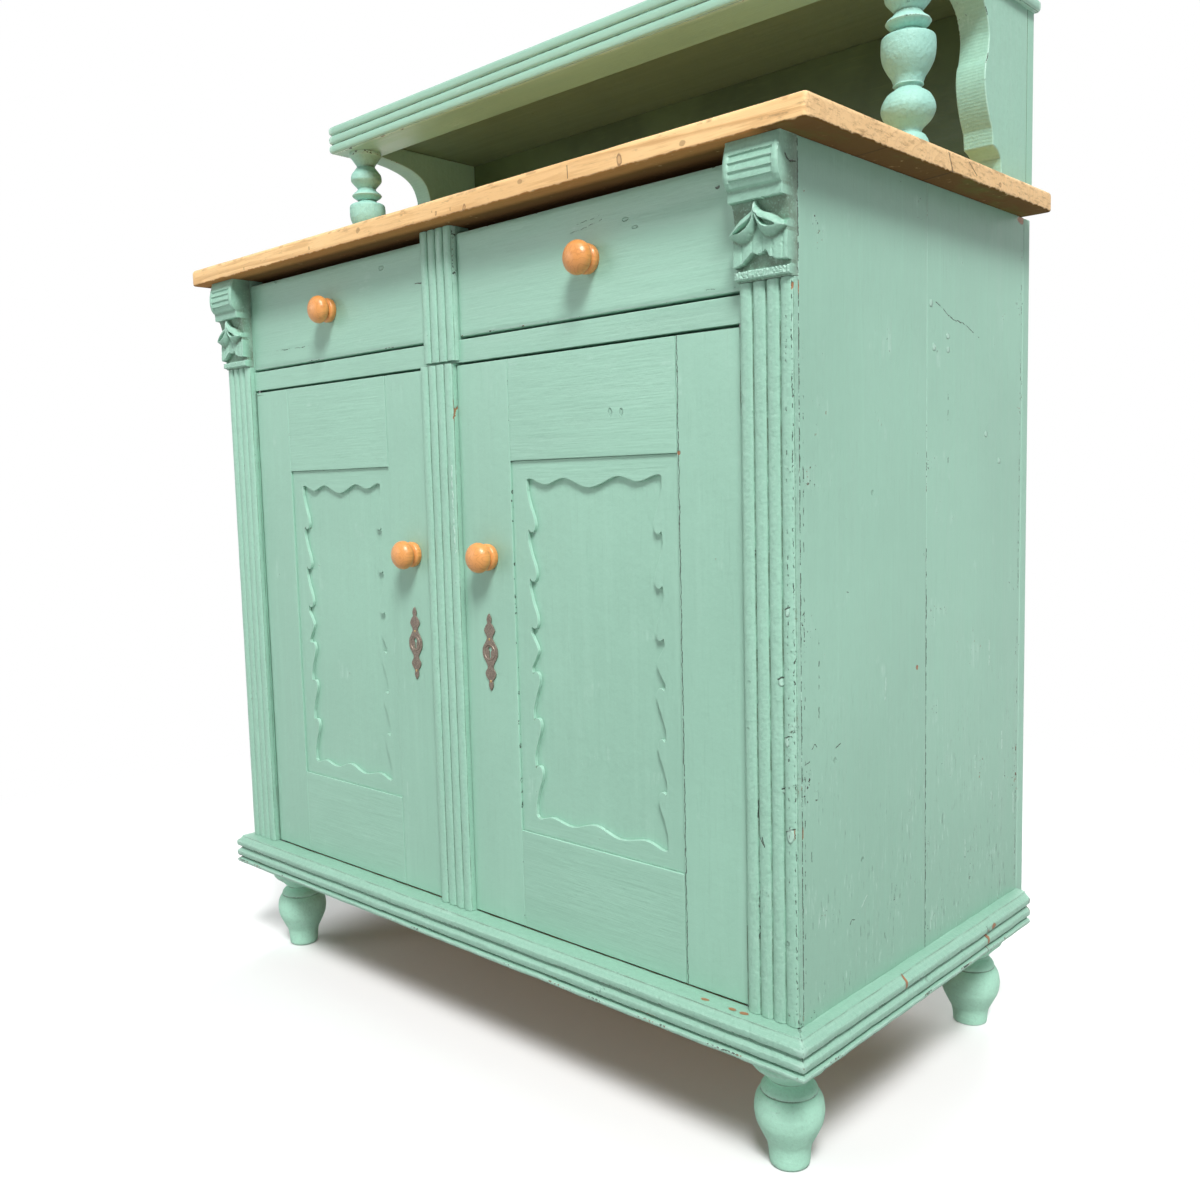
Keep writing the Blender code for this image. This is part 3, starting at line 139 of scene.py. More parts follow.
# %% [markdown]
# ## Wear along the edges
#
# Paint wears off where a hand or a cloth rubs, on edges that stick out, and the sage paint is laid pale
# there, as wear and as a painted highlight. The corners that go in are painted darker, as grime and as
# painted shade. A paint material can't see edges by itself. Pointiness or a bevel node could guess them,
# but they depend on the renderer. So each finished mesh stores two numbers at every corner of its small
# faces: how sharply the mesh sticks out there, and how deeply it is tucked in. The wide faces store none.

# %% Marking worn edges and corners
FULL_WEAR_ANGLE = math.radians(35)
NEAR_EDGE = 5 * MM


def mark_edges(piece):
    """Store how convex and how concave the mesh is at each corner of its small faces."""
    shape = bmesh.new()
    shape.from_mesh(piece.data)
    out = {}
    inward = {}
    for vert in shape.verts:
        closed_edges = [edge for edge in vert.link_edges if len(edge.link_faces) == 2]
        angles = [edge.calc_face_angle_signed(0.0) for edge in closed_edges]
        out[vert] = min(1.0, max(angles + [0.0]) / FULL_WEAR_ANGLE)
        inward[vert] = min(1.0, -min(angles + [0.0]) / FULL_WEAR_ANGLE)
    stored_out = []
    stored_in = []
    for face in shape.faces:
        width = face.calc_area() / max(edge.calc_length() for edge in face.edges)
        near = 1.0 if width < NEAR_EDGE else 0.0
        for loop in face.loops:
            stored_out.append(near * out[loop.vert])
            stored_in.append(near * inward[loop.vert])
    shape.free()
    for name, values in (("edge_wear", stored_out), ("crevice", stored_in)):
        attribute = piece.data.attributes.new(name, "FLOAT", "CORNER")
        attribute.data.foreach_set("value", values)


print("edges wear fully from", round(math.degrees(FULL_WEAR_ANGLE)), "degrees")


# %% Finishing a piece
NOISE_SEED = 7
noise.seed_set(NOISE_SEED)


def wander(piece, amount, pitch, seed=0.0):
    """Move the vertices a little by smooth noise, so that no line is machine straight."""
    for vert in piece.data.vertices:
        shift = noise.noise_vector(vert.co / pitch + Vector((seed, seed, seed)))
        vert.co += shift * amount


def complete(piece, name, body, material, replaced=(), angle=38):
    """Name a finished piece, shade it, give it its finish and let it ride on its body."""
    deselect()
    for vert in piece.data.vertices:
        for axis in range(3):
            vert.co[axis] = min(max(vert.co[axis], cad_low[axis]), cad_high[axis])
    piece.name = name
    piece.data.name = name
    piece.select_set(True)
    bpy.context.view_layer.objects.active = piece
    mark_edges(piece)
    bpy.ops.object.shade_smooth_by_angle(angle=math.radians(angle))
    weighting = piece.modifiers.new("flat faces", "WEIGHTED_NORMAL")
    weighting.keep_sharp = True
    bpy.ops.object.modifier_apply(modifier=weighting.name)
    piece.data.materials.clear()
    piece.data.materials.append(material)
    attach(piece, body)
    if replaced:
        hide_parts(*replaced)


print("helpers that finish a piece")

# %% [markdown]
# ## Three ways to start a piece
#
# A board starts as a cube at its size, a moulding or a cut-out board as a drawn outline that is extruded,
# and a turned piece as half a profile that is spun round its axis. Sculpting could make all of them, but
# these give clean straight grain directions and edges that can be bevelled by a known size.

# %% Boards
NEAR = 0.1 * MM
INSET_FOR_WEAR = 3.5 * MM
BOARD_WANDER = 90 * MM


def board(low, high, arris, along, cuts=8, unevenness=0.12 * MM, seed=0.0):
    """A plank with softened arrises, cut across its length so that it can be a little uneven."""
    deselect()
    low = Vector(low)
    high = Vector(high)
    size = high - low
    bpy.ops.mesh.primitive_cube_add(size=1, location=(low + high) / 2, scale=size)
    piece = bpy.context.object
    bpy.ops.object.transform_apply(location=True, rotation=True, scale=True)
    edit(piece)
    normal = axis_vector(along)
    for cut in range(1, cuts):
        bpy.ops.mesh.select_all(action="SELECT")
        place = low + normal * (size[along] * cut / cuts)
        bpy.ops.mesh.bisect(plane_co=place, plane_no=normal)
    pick(piece, "EDGE", lambda edge: edge.calc_face_angle(0) > 1)
    bpy.ops.mesh.bevel(offset=arris, segments=2, affect="EDGES")
    pick(piece, "FACE", lambda face: min(edge.calc_length() for edge in face.edges) > 3 * INSET_FOR_WEAR)
    bpy.ops.mesh.inset(thickness=INSET_FOR_WEAR, use_boundary=True, use_even_offset=True)
    leave()
    wander(piece, unevenness, BOARD_WANDER, seed)
    return piece


print("helper for boards")


# %% Outlines
def outline_piece(loops, axis, start, end, steps=1):
    """Draw closed outlines at one level of an axis, fill them, and extrude the face to another level.

    The first loop is the outer edge. Any further loop is the edge of a hole.
    """
    deselect()
    mesh = bpy.data.meshes.new("outline")
    points = []
    edges = []
    for loop in loops:
        first = len(points)
        for index, (across, up) in enumerate(loop):
            points.append(lay(across, up, axis, start))
            edges.append((first + index, first + (index + 1) % len(loop)))
    mesh.from_pydata(points, edges, [])
    piece = bpy.data.objects.new("outline", mesh)
    bpy.context.scene.collection.objects.link(piece)
    edit(piece)
    if len(loops) == 1:
        bpy.ops.mesh.edge_face_add()
    else:
        bpy.ops.mesh.fill(use_beauty=True)
    step = axis_vector(axis) * ((end - start) / steps)
    for _ in range(steps):
        bpy.ops.mesh.extrude_region_move(TRANSFORM_OT_translate={"value": step})
    bpy.ops.mesh.select_all(action="SELECT")
    bpy.ops.mesh.normals_make_consistent(inside=False)
    leave()
    return piece


def lay(across, up, axis, level):
    """A point of an outline, at one level of the axis it is extruded along."""
    if axis == 0:
        return (level, across, up)
    if axis == 1:
        return (across, level, up)
    return (across, up, level)


def soften(piece, offset, segments=2, sharper_than=40, test=None):
    """Bevel the sharp edges of a piece."""
    edit(piece)
    limit = math.radians(sharper_than)

    def chosen(edge):
        return edge.calc_face_angle(0) > limit and (test is None or test(edge))

    pick(piece, "EDGE", chosen)
    bpy.ops.mesh.bevel(offset=offset, segments=segments, affect="EDGES")
    leave()


def cut_away(piece, place, normal):
    """Cut a piece with a plane, drop what lies on the normal's side and close the cut."""
    edit(piece)
    bpy.ops.mesh.bisect(plane_co=place, plane_no=normal, clear_outer=True, use_fill=True)
    leave()


print("helpers for outlines, softened edges and cuts")


# %% Turned pieces
def turned(profile, centre, axis=2, steps=48):
    """Spin a profile of (place along the axis, radius) round an axis through the centre."""
    deselect()
    mesh = bpy.data.meshes.new("turned")
    centre = Vector(centre)
    points = []
    for along, radius in profile:
        if axis == 2:
            points.append(centre + Vector((radius, 0, along)))
        else:
            points.append(centre + Vector((radius, -along, 0)))
    mesh.from_pydata(points, [(index, index + 1) for index in range(len(points) - 1)], [])
    piece = bpy.data.objects.new("turned", mesh)
    bpy.context.scene.collection.objects.link(piece)
    edit(piece)
    bpy.ops.mesh.spin(steps=steps, angle=2 * math.pi, center=centre, axis=axis_vector(axis))
    bpy.ops.mesh.select_all(action="SELECT")
    bpy.ops.mesh.remove_doubles(threshold=0.00001)
    bpy.ops.mesh.normals_make_consistent(inside=False)
    leave()
    return piece


def smooth_line(points, steps=4):
    """A smooth line through points in two dimensions, with extra points on each stretch."""
    line = []
    for index in range(len(points) - 1):
        before = points[max(index - 1, 0)]
        here = points[index]
        there = points[index + 1]
        after = points[min(index + 2, len(points) - 1)]
        for step in range(steps):
            t = step / steps
            line.append(tuple(
                0.5 * (2 * b + (c - a) * t + (2 * a - 5 * b + 4 * c - d) * t ** 2
                       + (3 * b - a - 3 * c + d) * t ** 3)
                for a, b, c, d in zip(before, here, there, after)))
    line.append(tuple(points[-1]))
    return line


print("helpers for turned pieces and smooth lines")

# %% [markdown]
# ## The finishes
#
# Every finish is a node material on object coordinates, so it needs no unwrapping and stays on its piece
# when a door opens. Painting an image texture would be the other way, but it has one fixed resolution.
# The helpers below add a node and link or set its inputs in one call. A helper that is given an output of
# another node adds the new node beside it.

# %% Adding nodes
def new_finish(name):
    """An empty material with its shader node."""
    material = bpy.data.materials.new(name)
    material.use_nodes = True
    return material, material.node_tree.nodes["Principled BSDF"]


def connect(socket, value):
    """Link an output to a socket, or set the socket's own value."""
    if isinstance(value, bpy.types.NodeSocket):
        socket.id_data.links.new(value, socket)
    else:
        socket.default_value = value


def first_node(owner, kind, inputs=None, **settings):
    """Add a node to a material or world, with settings on the node and values or links on its inputs."""
    tree = getattr(owner, "node_tree", owner)
    made = tree.nodes.new(kind)
    for name, value in settings.items():
        setattr(made, name, value)
    for name, value in (inputs or {}).items():
        connect(made.inputs[name], value)
    return made


def node(kind, inputs, **settings):
    """Add a node beside the nodes that its inputs come from, because every output knows its node tree."""
    tree = next(value.id_data for value in inputs.values() if isinstance(value, bpy.types.NodeSocket))
    return first_node(tree, kind, inputs, **settings)


print("helpers that add nodes")


# %% Places and directions for the finishes
def place_on(material, scale=(1, 1, 1), move=(0, 0, 0)):
    """Object coordinates through a mapping."""
    source = first_node(material, "ShaderNodeTexCoord").outputs["Object"]
    mapping = node("ShaderNodeMapping", {"Vector": source, "Scale": scale, "Location": move})
    return mapping.outputs["Vector"]


def parts_of(vector):
    """The X, Y and Z of a vector."""
    return node("ShaderNodeSeparateXYZ", {"Vector": vector}).outputs


def facing(material):
    """The X, Y and Z of the direction that a face looks in."""
    return parts_of(first_node(material, "ShaderNodeNewGeometry").outputs["True Normal"])


def stored(material, name):
    """A number stored on the mesh."""
    return first_node(material, "ShaderNodeAttribute", attribute_name=name).outputs["Fac"]


def clouds(vector, scale, detail=4.0, roughness=0.5):
    """Noise between 0 and 1."""
    inputs = {"Vector": vector, "Scale": scale, "Detail": detail, "Roughness": roughness}
    return node("ShaderNodeTexNoise", inputs).outputs["Fac"]


print("helpers for places and directions in a finish")

# %% Arithmetic for the finishes
def sums(operation, *values):
    """Arithmetic on one, two or three numbers."""
    return node("ShaderNodeMath", dict(enumerate(values)), operation=operation).outputs["Value"]


def times(first, second):
    """The product of two numbers."""
    return sums("MULTIPLY", first, second)


def highest(first, *others):
    """The largest of several masks."""
    for other in others:
        first = sums("MAXIMUM", first, other)
    return first


def vectors(operation, first, second=None):
    """Arithmetic on vectors. Lengths, distances and dot products give a number, the rest a vector."""
    inputs = {0: first}
    if second is not None:
        inputs["Scale" if operation == "SCALE" else 1] = second
    output = "Value" if operation in ("LENGTH", "DISTANCE", "DOT_PRODUCT") else "Vector"
    return node("ShaderNodeVectorMath", inputs, operation=operation).outputs[output]


def between(value, low, high, to_low=0.0, to_high=1.0, smooth=True):
    """Map a value from one range to another, held at both ends."""
    inputs = {"Value": value, "From Min": low, "From Max": high, "To Min": to_low, "To Max": to_high}
    made = node("ShaderNodeMapRange", inputs)
    if smooth:
        made.interpolation_type = "SMOOTHSTEP"
    return made.outputs["Result"]


print("helpers for arithmetic in a finish")

# %% Colour and relief
def mixed(factor, first, second):
    """Mix two colours."""
    return node("ShaderNodeMix", {0: factor, 6: first, 7: second}, data_type="RGBA").outputs[2]


def toned(colour, factor):
    """A colour made lighter or darker, by one factor or by one for each channel."""
    factors = factor if isinstance(factor, tuple) else (factor,) * 3
    return (*[min(1.0, part * share) for part, share in zip(colour, factors)], 1)


def relief_of(layers, start=0.0):
    """One height in metres, from layers of (value, amount), so that a finish needs only one bump."""
    total = start
    for value, amount in layers:
        total = sums("MULTIPLY_ADD", value, amount, total)
    return total


def dress(shader, colour, roughness, relief, distance=1.0):
    """Give a shader its colour, its roughness and one bump, whose height times distance is in metres."""
    connect(shader.inputs["Base Color"], colour)
    connect(shader.inputs["Roughness"], roughness)
    bump = node("ShaderNodeBump", {"Height": relief, "Distance": distance, "Strength": 1.0})
    connect(shader.inputs["Normal"], bump.outputs["Normal"])


print("helpers for places, arithmetic, colour and relief")

# %% [markdown]
# ## Sage paint over old pine
#
# The cupboard has been painted by hand several times, last in a soft sage green. The brush left fine ridges
# along each board, and the paint has lumps, pale spots worn by rubbing and chips down to dark wood. One
# flat colour with a bump would look like plastic. So the finish is laid as a painter's work ages: brush
# strokes first, then worn edges that are also painted pale as a highlight, grime and painted shade in the
# corners, darker paint and wear near the floor, chips, and last the relief of all of them. Some finishes
# also darken faces that look up or down, as painted shade. Each layer is noise at its own scale, held to
# where the mesh stored an edge or a corner.

# %% Colours of the paint
SAGE = (0.325, 0.575, 0.450, 1)
SAGE_PALE = (0.40, 0.66, 0.53, 1)
SAGE_DEEP = (0.255, 0.465, 0.355, 1)
GRIME_AND_SHADE = (0.10, 0.135, 0.085, 1)
BARE_WOOD = (0.30, 0.155, 0.075, 1)
OLD_DARK = (0.045, 0.045, 0.035, 1)
PALE_RUB_AND_HIGHLIGHT = (0.58, 0.80, 0.70, 1)
CRACK_DARK = (0.05, 0.06, 0.045, 1)
SHADED_PAINT = (0.10, 0.135, 0.065, 1)
RUST_WOOD = (0.36, 0.13, 0.045, 1)
print("ten colours of paint, dirt and old wood")

# %% Sage paint
BRUSH_STRETCH = 0.06
STROKE_SCALE = 420
BROAD_STROKE_SCALE = 90
WIDE_SCALE = 3.5
BLOTCH_SCALE = 40
GRIT_SCALE = 260
FIELD_SCALE = 22
LUMP_SCALE = 130
SWELL_SCALE = 14
STROKE_HEIGHT = 0.30 * MM
BROAD_STROKE_HEIGHT = 0.40 * MM
LUMP_HEIGHT = 0.34 * MM
SWELL_HEIGHT = 0.9 * MM
CHIP_HEIGHT = -0.30 * MM
GRIT_HEIGHT = 0.30 * MM
LOW_WEAR_TOP = 0.56
LOW_WEAR_FOOT = 0.19
BAND_CHIPS = 1.11
RIPPLES_PER_METRE = 1800.0


def sage(name, along, tone=1.0, chips=0.55, pits=0.5, rub_and_sheen=0.6, rough=1.0, move=(0, 0, 0), low=0.0, bands=(),
         ripples=0.0, soil_and_shade=0.0, ledge=0.0, shade=0.0, matte=0.0, marks=None):
    """Brushed sage paint whose strokes run along one axis.

    rough multiplies the height of its lumps, ripples are saw marks on faces that look forward whose crests
    are painted paler as a painted highlight, low darkens the paint towards the floor and adds worn patches
    there, soil_and_shade is the least darkening in a crevice, as grime and painted shade, ledge darkens
    faces that look up as painted shade, shade darkens faces that look down as painted shade,
    rub_and_sheen sets how pale the worn edges are painted, as wear and a painted highlight, matte adds to
    the roughness, each band (axis, place, reach) adds chips near a plane, and marks are single cracks,
    dents and bare spots.
    """
    material, shader = new_finish(name)
    stretch = [1.0, 1.0, 1.0]
    stretch[along] = BRUSH_STRETCH
    plain = place_on(material, move=move)
    stroked = place_on(material, stretch, move)
    wear = stored(material, "edge_wear")
    pale = toned(SAGE_PALE, tone)
    deep = toned(SAGE_DEEP, tone)
    plain_tone = toned(SAGE, tone)

    strokes = clouds(stroked, STROKE_SCALE, 3, 0.6)
    broad_strokes = clouds(stroked, BROAD_STROKE_SCALE, 2)
    blotches = clouds(plain, BLOTCH_SCALE, 4, 0.6)
    grit = clouds(plain, GRIT_SCALE, 5, 0.65)
    fields = clouds(plain, FIELD_SCALE, 3, 0.6)
    wide = between(clouds(plain, WIDE_SCALE, 3), 0.3, 0.7)
    colour = mixed(wide, toned(plain_tone, 0.96), toned(plain_tone, 1.04))
    colour = mixed(between(broad_strokes, 0.45, 0.75, 0, 0.24), colour, pale)
    colour = mixed(between(strokes, 0.55, 0.75, 0, 0.24), colour, deep)

    # Convex edges are painted pale, as worn paint and as a painted highlight.
    rubbed_and_highlit = times(between(wear, 0.55, 0.98), between(fields, 0.25, 0.62, 0.15, rub_and_sheen))
    colour = mixed(rubbed_and_highlit, colour, PALE_RUB_AND_HIGHLIGHT)
    dabs = times(between(fields, 0.60, 0.74), between(strokes, 0.45, 0.62))
    colour = mixed(times(dabs, 0.35), colour, PALE_RUB_AND_HIGHLIGHT)
    # Corners that go in are darkened, as grime and as painted shade.
    dirt_and_shade = times(between(stored(material, "crevice"), 0.25, 1.0), between(blotches, 0.30, 0.65, soil_and_shade))
    colour = mixed(times(dirt_and_shade, 0.8), colour, GRIME_AND_SHADE)

    chance = times(grit, between(fields, 0.42, 0.70, 0.70, 1.18))
    parts = parts_of(place_on(material))
    for axis, place, reach in bands:
        away = sums("ABSOLUTE", sums("SUBTRACT", parts[axis], place))
        chance = times(chance, between(away, reach, 0.0, 1.0, BAND_CHIPS))
    if low:
        lowness = between(parts["Z"], LOW_WEAR_TOP, LOW_WEAR_FOOT, 0, low)
        dry = clouds(place_on(material, [max(0.16, part) for part in stretch], move), 330, 4, 0.62)
        patches = times(lowness, between(fields, 0.38, 0.62))
        # The paint is darker towards the floor.
        colour = mixed(times(lowness, 0.42), colour, deep)
        colour = mixed(times(between(dry, 0.58, 0.68, 0, 0.65), patches), colour, PALE_RUB_AND_HIGHLIGHT)
        colour = mixed(times(between(dry, 0.39, 0.32, 0, 0.60), patches), colour, CRACK_DARK)
        chance = times(chance, between(lowness, 0.0, 1.0, 1.0, 1.05))
    edge_start = 0.80 - 0.28 * chips
    pit_start = 0.795 - 0.03 * pits
    edge_chips = between(times(between(wear, 0.35, 1.0), chance), edge_start, edge_start + 0.04)
    chipped = highest(edge_chips, between(chance, pit_start, pit_start + 0.02))
    colour = mixed(chipped, colour, mixed(between(blotches, 0.50, 0.62), OLD_DARK, BARE_WOOD))

    lumps = clouds(plain, LUMP_SCALE, 3, 0.55)
    relief = relief_of([(clouds(plain, SWELL_SCALE, 2), SWELL_HEIGHT), (lumps, LUMP_HEIGHT * rough),
                        (strokes, STROKE_HEIGHT), (broad_strokes, BROAD_STROKE_HEIGHT),
                        (chipped, CHIP_HEIGHT)])
    if rough > 1:
        relief = relief_of([(grit, GRIT_HEIGHT * (rough - 1))], relief)
        mottle = min(0.55, 0.22 * rough)
        colour = mixed(between(grit, 0.52, 0.68, 0, mottle), colour, deep)
        colour = mixed(between(grit, 0.46, 0.32, 0, mottle), colour, pale)
    # Painted shade: faces that look up are darkened.
    if ledge:
        colour = mixed(between(facing(material)["Z"], 0.5, 0.9, 0, ledge), colour, deep)
    # Painted shade: faces that look down are darkened.
    if shade:
        colour = mixed(between(facing(material)["Z"], -0.5, -0.9, 0, shade), colour, SHADED_PAINT)
    if ripples:
        forward = between(sums("ABSOLUTE", facing(material)["Y"]), 0.3, 0.6)
        phase = sums("MULTIPLY_ADD", parts["Z"], RIPPLES_PER_METRE, times(blotches, 9.0))
        wave = times(sums("SINE", phase), forward)
        relief = relief_of([(wave, ripples)], relief)
        # Painted highlight: the ripples' crests are painted paler.
        colour = mixed(between(wave, 0.1, 1.0, 0, 0.10), colour, PALE_RUB_AND_HIGHLIGHT)
    if marks:
        colour, relief = add_marks(material, colour, relief, **marks)
    gloss = between(broad_strokes, 0.3, 0.7, 0.34 + matte, 0.46 + matte)
    dress(shader, colour, sums("ADD", gloss, times(chipped, 0.35)), relief)
    return material


print("the sage paint's strokes are drawn out", round(1 / BRUSH_STRETCH), "times along the brush")

# %% [markdown]
# ## Single marks in the paint
#
# Some cracks, dents, dabs and bare spots are large enough to be known one by one. An image could be painted
# with them, but it would have one fixed resolution. Here each mark is a distance from a point or a line in
# the wood, and noise shakes that distance, so that its outline is ragged.

# %% Marks
MARK_DRIFT = 0.004


def spot(place, centre, radii):
    """1 inside a ragged oval round a point, and 0 outside it."""
    shares = [1 / radius for radius in (radii if isinstance(radii, tuple) else (radii,) * 3)]
    size = vectors("LENGTH", vectors("MULTIPLY", vectors("SUBTRACT", place, centre), shares))
    return between(size, 1.15, 0.75)


def crack(place, points, width):
    """1 on a thin line through some points, and 0 away from it."""
    nearest = None
    for start, end in zip(points, points[1:]):
        run = Vector(end) - Vector(start)
        offset = vectors("SUBTRACT", place, start)
        share = vectors("DOT_PRODUCT", offset, run / run.length_squared)
        held = node("ShaderNodeClamp", {"Value": share}).outputs["Result"]
        away = vectors("DISTANCE", offset, vectors("SCALE", run, held))
        nearest = away if nearest is None else sums("MINIMUM", nearest, away)
    return between(nearest, width, width * 0.4)


def drifting(material, scale, keep=(1, 1, 1)):
    """Object coordinates shaken by noise, for ragged outlines. keep drops an axis with a 0."""
    plain = place_on(material)
    shake = node("ShaderNodeTexNoise", {"Vector": plain, "Scale": scale, "Detail": 3.0}).outputs["Color"]
    drift = vectors("SCALE", vectors("SUBTRACT", shake, (0.5, 0.5, 0.5)), MARK_DRIFT)
    return vectors("MULTIPLY", vectors("ADD", plain, drift), keep)


def add_marks(material, colour, relief, keep=(1, 1, 1), cracks=(), dents=(), bare=(), dabs=(), scuffs=()):
    """Lay single cracks, scuffs, dents, bare spots and dabs at their own places on a painted piece."""
    place = drifting(material, 160.0, keep)
    speckle = clouds(place_on(material), 170, 2)

    def flat(point):
        """A place without the dropped axis."""
        return tuple(part * kept for part, kept in zip(point, keep))

    def line(points, width):
        """A mask for one line."""
        return crack(place, [flat(point) for point in points], width)

    def broken_line(points, width, broken):
        """A mask for one crack, with gaps where broken isn't 0."""
        mask = line(points, width)
        return times(mask, between(speckle, broken, broken + 0.08)) if broken else mask

    if cracks:
        dark = highest(*[broken_line(*shape) for shape in cracks])
        colour = mixed(times(dark, 0.92), colour, CRACK_DARK)
        relief = relief_of([(dark, -0.7 * MM)], relief)
    if scuffs:
        pale = times(highest(*[line(*shape) for shape in scuffs]), between(speckle, 0.40, 0.52, 0, 0.75))
        colour = mixed(pale, colour, PALE_RUB_AND_HIGHLIGHT)
        relief = relief_of([(pale, 0.6 * MM)], relief)
    kinds = ((dents, 0.45, SAGE_DEEP, -1.4 * MM), (bare, 0.9, RUST_WOOD, -0.6 * MM),
             (dabs, 0.4, PALE_RUB_AND_HIGHLIGHT, 1.2 * MM))
    for spots, share, tint, rise in kinds:
        if spots:
            mask = highest(*[spot(place, flat(centre), radii) for centre, radii in spots])
            colour = mixed(times(mask, share), colour, tint)
            relief = relief_of([(mask, rise)], relief)
    return colour, relief


print("the outline of a mark drifts by up to", round(MARK_DRIFT / 2 / MM, 1), "mm")

# %% Degrees of wear
SAGE_UPRIGHT = sage("sage_upright", 2, rub_and_sheen=0.4)
SAGE_LEVEL = sage("sage_level", 0, rub_and_sheen=0.4)
SAGE_FRAME = sage("sage_frame", 2, rub_and_sheen=0.15, move=(2, 0, 0))
SAGE_RAIL = sage("sage_rail", 0, rub_and_sheen=0.2, move=(4, 0, 0))
SAGE_STRIP = sage("sage_strip", 2, chips=0.85, pits=0.8, rough=1.8, low=0.35)
SAGE_MOULDING = sage("sage_moulding", 0, chips=0.85, pits=0.8)
SAGE_SWEPT = sage("sage_gallery_side", 2, chips=1.2, pits=0.9, rough=1.4, move=(0, 0, 11),
                  ripples=0.045 * MM, matte=0.08, bands=[(1, 0.235, 0.012)])
# The shelf's underside is darkened as painted shade.
SAGE_SHELF = sage("sage_shelf", 0, chips=0.85, pits=0.8, move=(0, 0, 13), shade=0.75)
SAGE_DEEPWISE = sage("sage_deepwise", 1, chips=0.85, pits=0.8)
SAGE_CARVED = sage("sage_carved", 2, tone=0.98, chips=0.7, pits=0.8, rough=2.0, soil_and_shade=0.6, matte=0.12)
SAGE_TURNED = sage("sage_turned", 0, tone=(1.04, 1.10, 1.20), chips=0.9, pits=1.6, rough=2.6, matte=0.22)
# The feet's paint is lightened as painted light, to make up for the shade of the plinth above them.
SAGE_FOOT_LIGHTENED = sage("sage_foot_painted_light", 0, tone=1.48, chips=0.7, pits=1.0, rough=1.8, matte=0.12, move=(0, 6, 0))
print("sage paint in twelve degrees of wear")

# %% [markdown]
# ## Pine, waxed and raw
#
# The worktop, the knobs and the hidden wood are all pine. Its grain is a set of rings that run along the
# board. A wave texture alone looks machine made, so a long stretched noise is folded into bands instead:
# that gives the flames and cathedrals of flat-sawn boards, with fine pores laid over them.

# %% Pine
GRAIN_STRETCH = 0.05
GROWTH_BANDS = 16.0
PORE_SCALE = 900


def pine(name, pale, dark, along, rough, ring_scale=9.0, gloss=0.0, contrast=0.55):
    """Pine with growth bands along one axis."""
    material, shader = new_finish(name)
    stretch = [1.0, 1.0, 1.0]
    stretch[along] = GRAIN_STRETCH
    grain_place = place_on(material, stretch)
    bands = sums("FRACT", times(clouds(grain_place, ring_scale, 2, 0.45), GROWTH_BANDS))
    soft = sums("SUBTRACT", between(bands, 0.55, 0.95), between(bands, 0.955, 1.0))
    pores = clouds(grain_place, PORE_SCALE, 3, 0.6)
    plain = place_on(material)
    colour = mixed(times(soft, contrast), pale, dark)
    colour = mixed(between(clouds(plain, 6, 3), 0.3, 0.7, 0, 0.30), colour, dark)
    colour = mixed(between(pores, 0.55, 0.8, 0, 0.35), colour, toned(dark, 0.6))
    colour = mixed(between(stored(material, "edge_wear"), 0.3, 1.0, 0, 0.35), colour, toned(pale, 1.12))
    # Corners that go in are darkened, as grime and as painted shade.
    colour = mixed(times(between(stored(material, "crevice"), 0.3, 1.0), 0.6), colour, toned(dark, 0.35))
    relief = relief_of([(soft, 0.10 * MM), (pores, 0.12 * MM), (clouds(plain, 30, 3), 0.5 * MM)])
    dress(shader, colour, between(pores, 0.3, 0.7, rough, rough + 0.12), relief)
    if gloss:
        shader.inputs["Coat Weight"].default_value = gloss
        shader.inputs["Coat Roughness"].default_value = 0.35
    return material


PINE_PALE = (0.70, 0.50, 0.29, 1)
PINE_DARK = (0.48, 0.29, 0.135, 1)
KNOB_PALE = (0.84, 0.37, 0.105, 1)
KNOB_DARK = (0.50, 0.165, 0.030, 1)
RAW = pine("raw_pine_boards", PINE_PALE, PINE_DARK, 0, 0.66)
RAW_DEEPWISE = pine("raw_pine_front_to_back", PINE_PALE, PINE_DARK, 1, 0.66)
KNOB_WOOD = pine("waxed_knob_pine", KNOB_PALE, KNOB_DARK, 1, 0.30, ring_scale=40.0, gloss=0.3,
                 contrast=0.32)
print("raw pine along and across, and waxed pine for the knobs")

# %% [markdown]
# ## The gallery back's painted shade, brass and steel
#
# The board behind the gallery is painted dark olive on its faces as painted shade under the shelf, with
# its ends in sage. The key plates are old brass gone brown, and the lock cases and pivots are plain steel.
# Metal needs little colour: its spots and its uneven roughness do the work.

# %% Dark olive paint as painted shade
# These olive colours are painted shade: they stand in for the shade under the gallery shelf.
SHADE_OLIVE_DEEP = (0.058, 0.100, 0.044, 1)
OLIVE = (0.098, 0.165, 0.072, 1)
SHADE_OLIVE_STREAK = (0.13, 0.19, 0.085, 1)


def olive_shade_paint(name):
    """Dark olive paint in streaks, as painted shade on the board's faces, with the ends of the board in
    sage.
    """
    material, shader = new_finish(name)
    wide = clouds(place_on(material), 5, 4, 0.6)
    strokes = clouds(place_on(material, (0.08, 1, 1)), 260, 3, 0.6)
    colour = mixed(between(wide, 0.35, 0.7), SHADE_OLIVE_DEEP, OLIVE)
    colour = mixed(between(strokes, 0.5, 0.8, 0, 0.5), colour, SHADE_OLIVE_STREAK)
    colour = mixed(between(sums("ABSOLUTE", facing(material)["X"]), 0.4, 0.6), colour, SAGE)
    relief = relief_of([(strokes, 0.2 * MM), (wide, 0.8 * MM)])
    dress(shader, colour, between(strokes, 0.3, 0.7, 0.42, 0.6), relief)
    return material


OLIVE_PAINTED_SHADE = olive_shade_paint("gallery_back_painted_shade")
print("dark olive paint")


# %% Metals
PITTING = 0.12 * MM


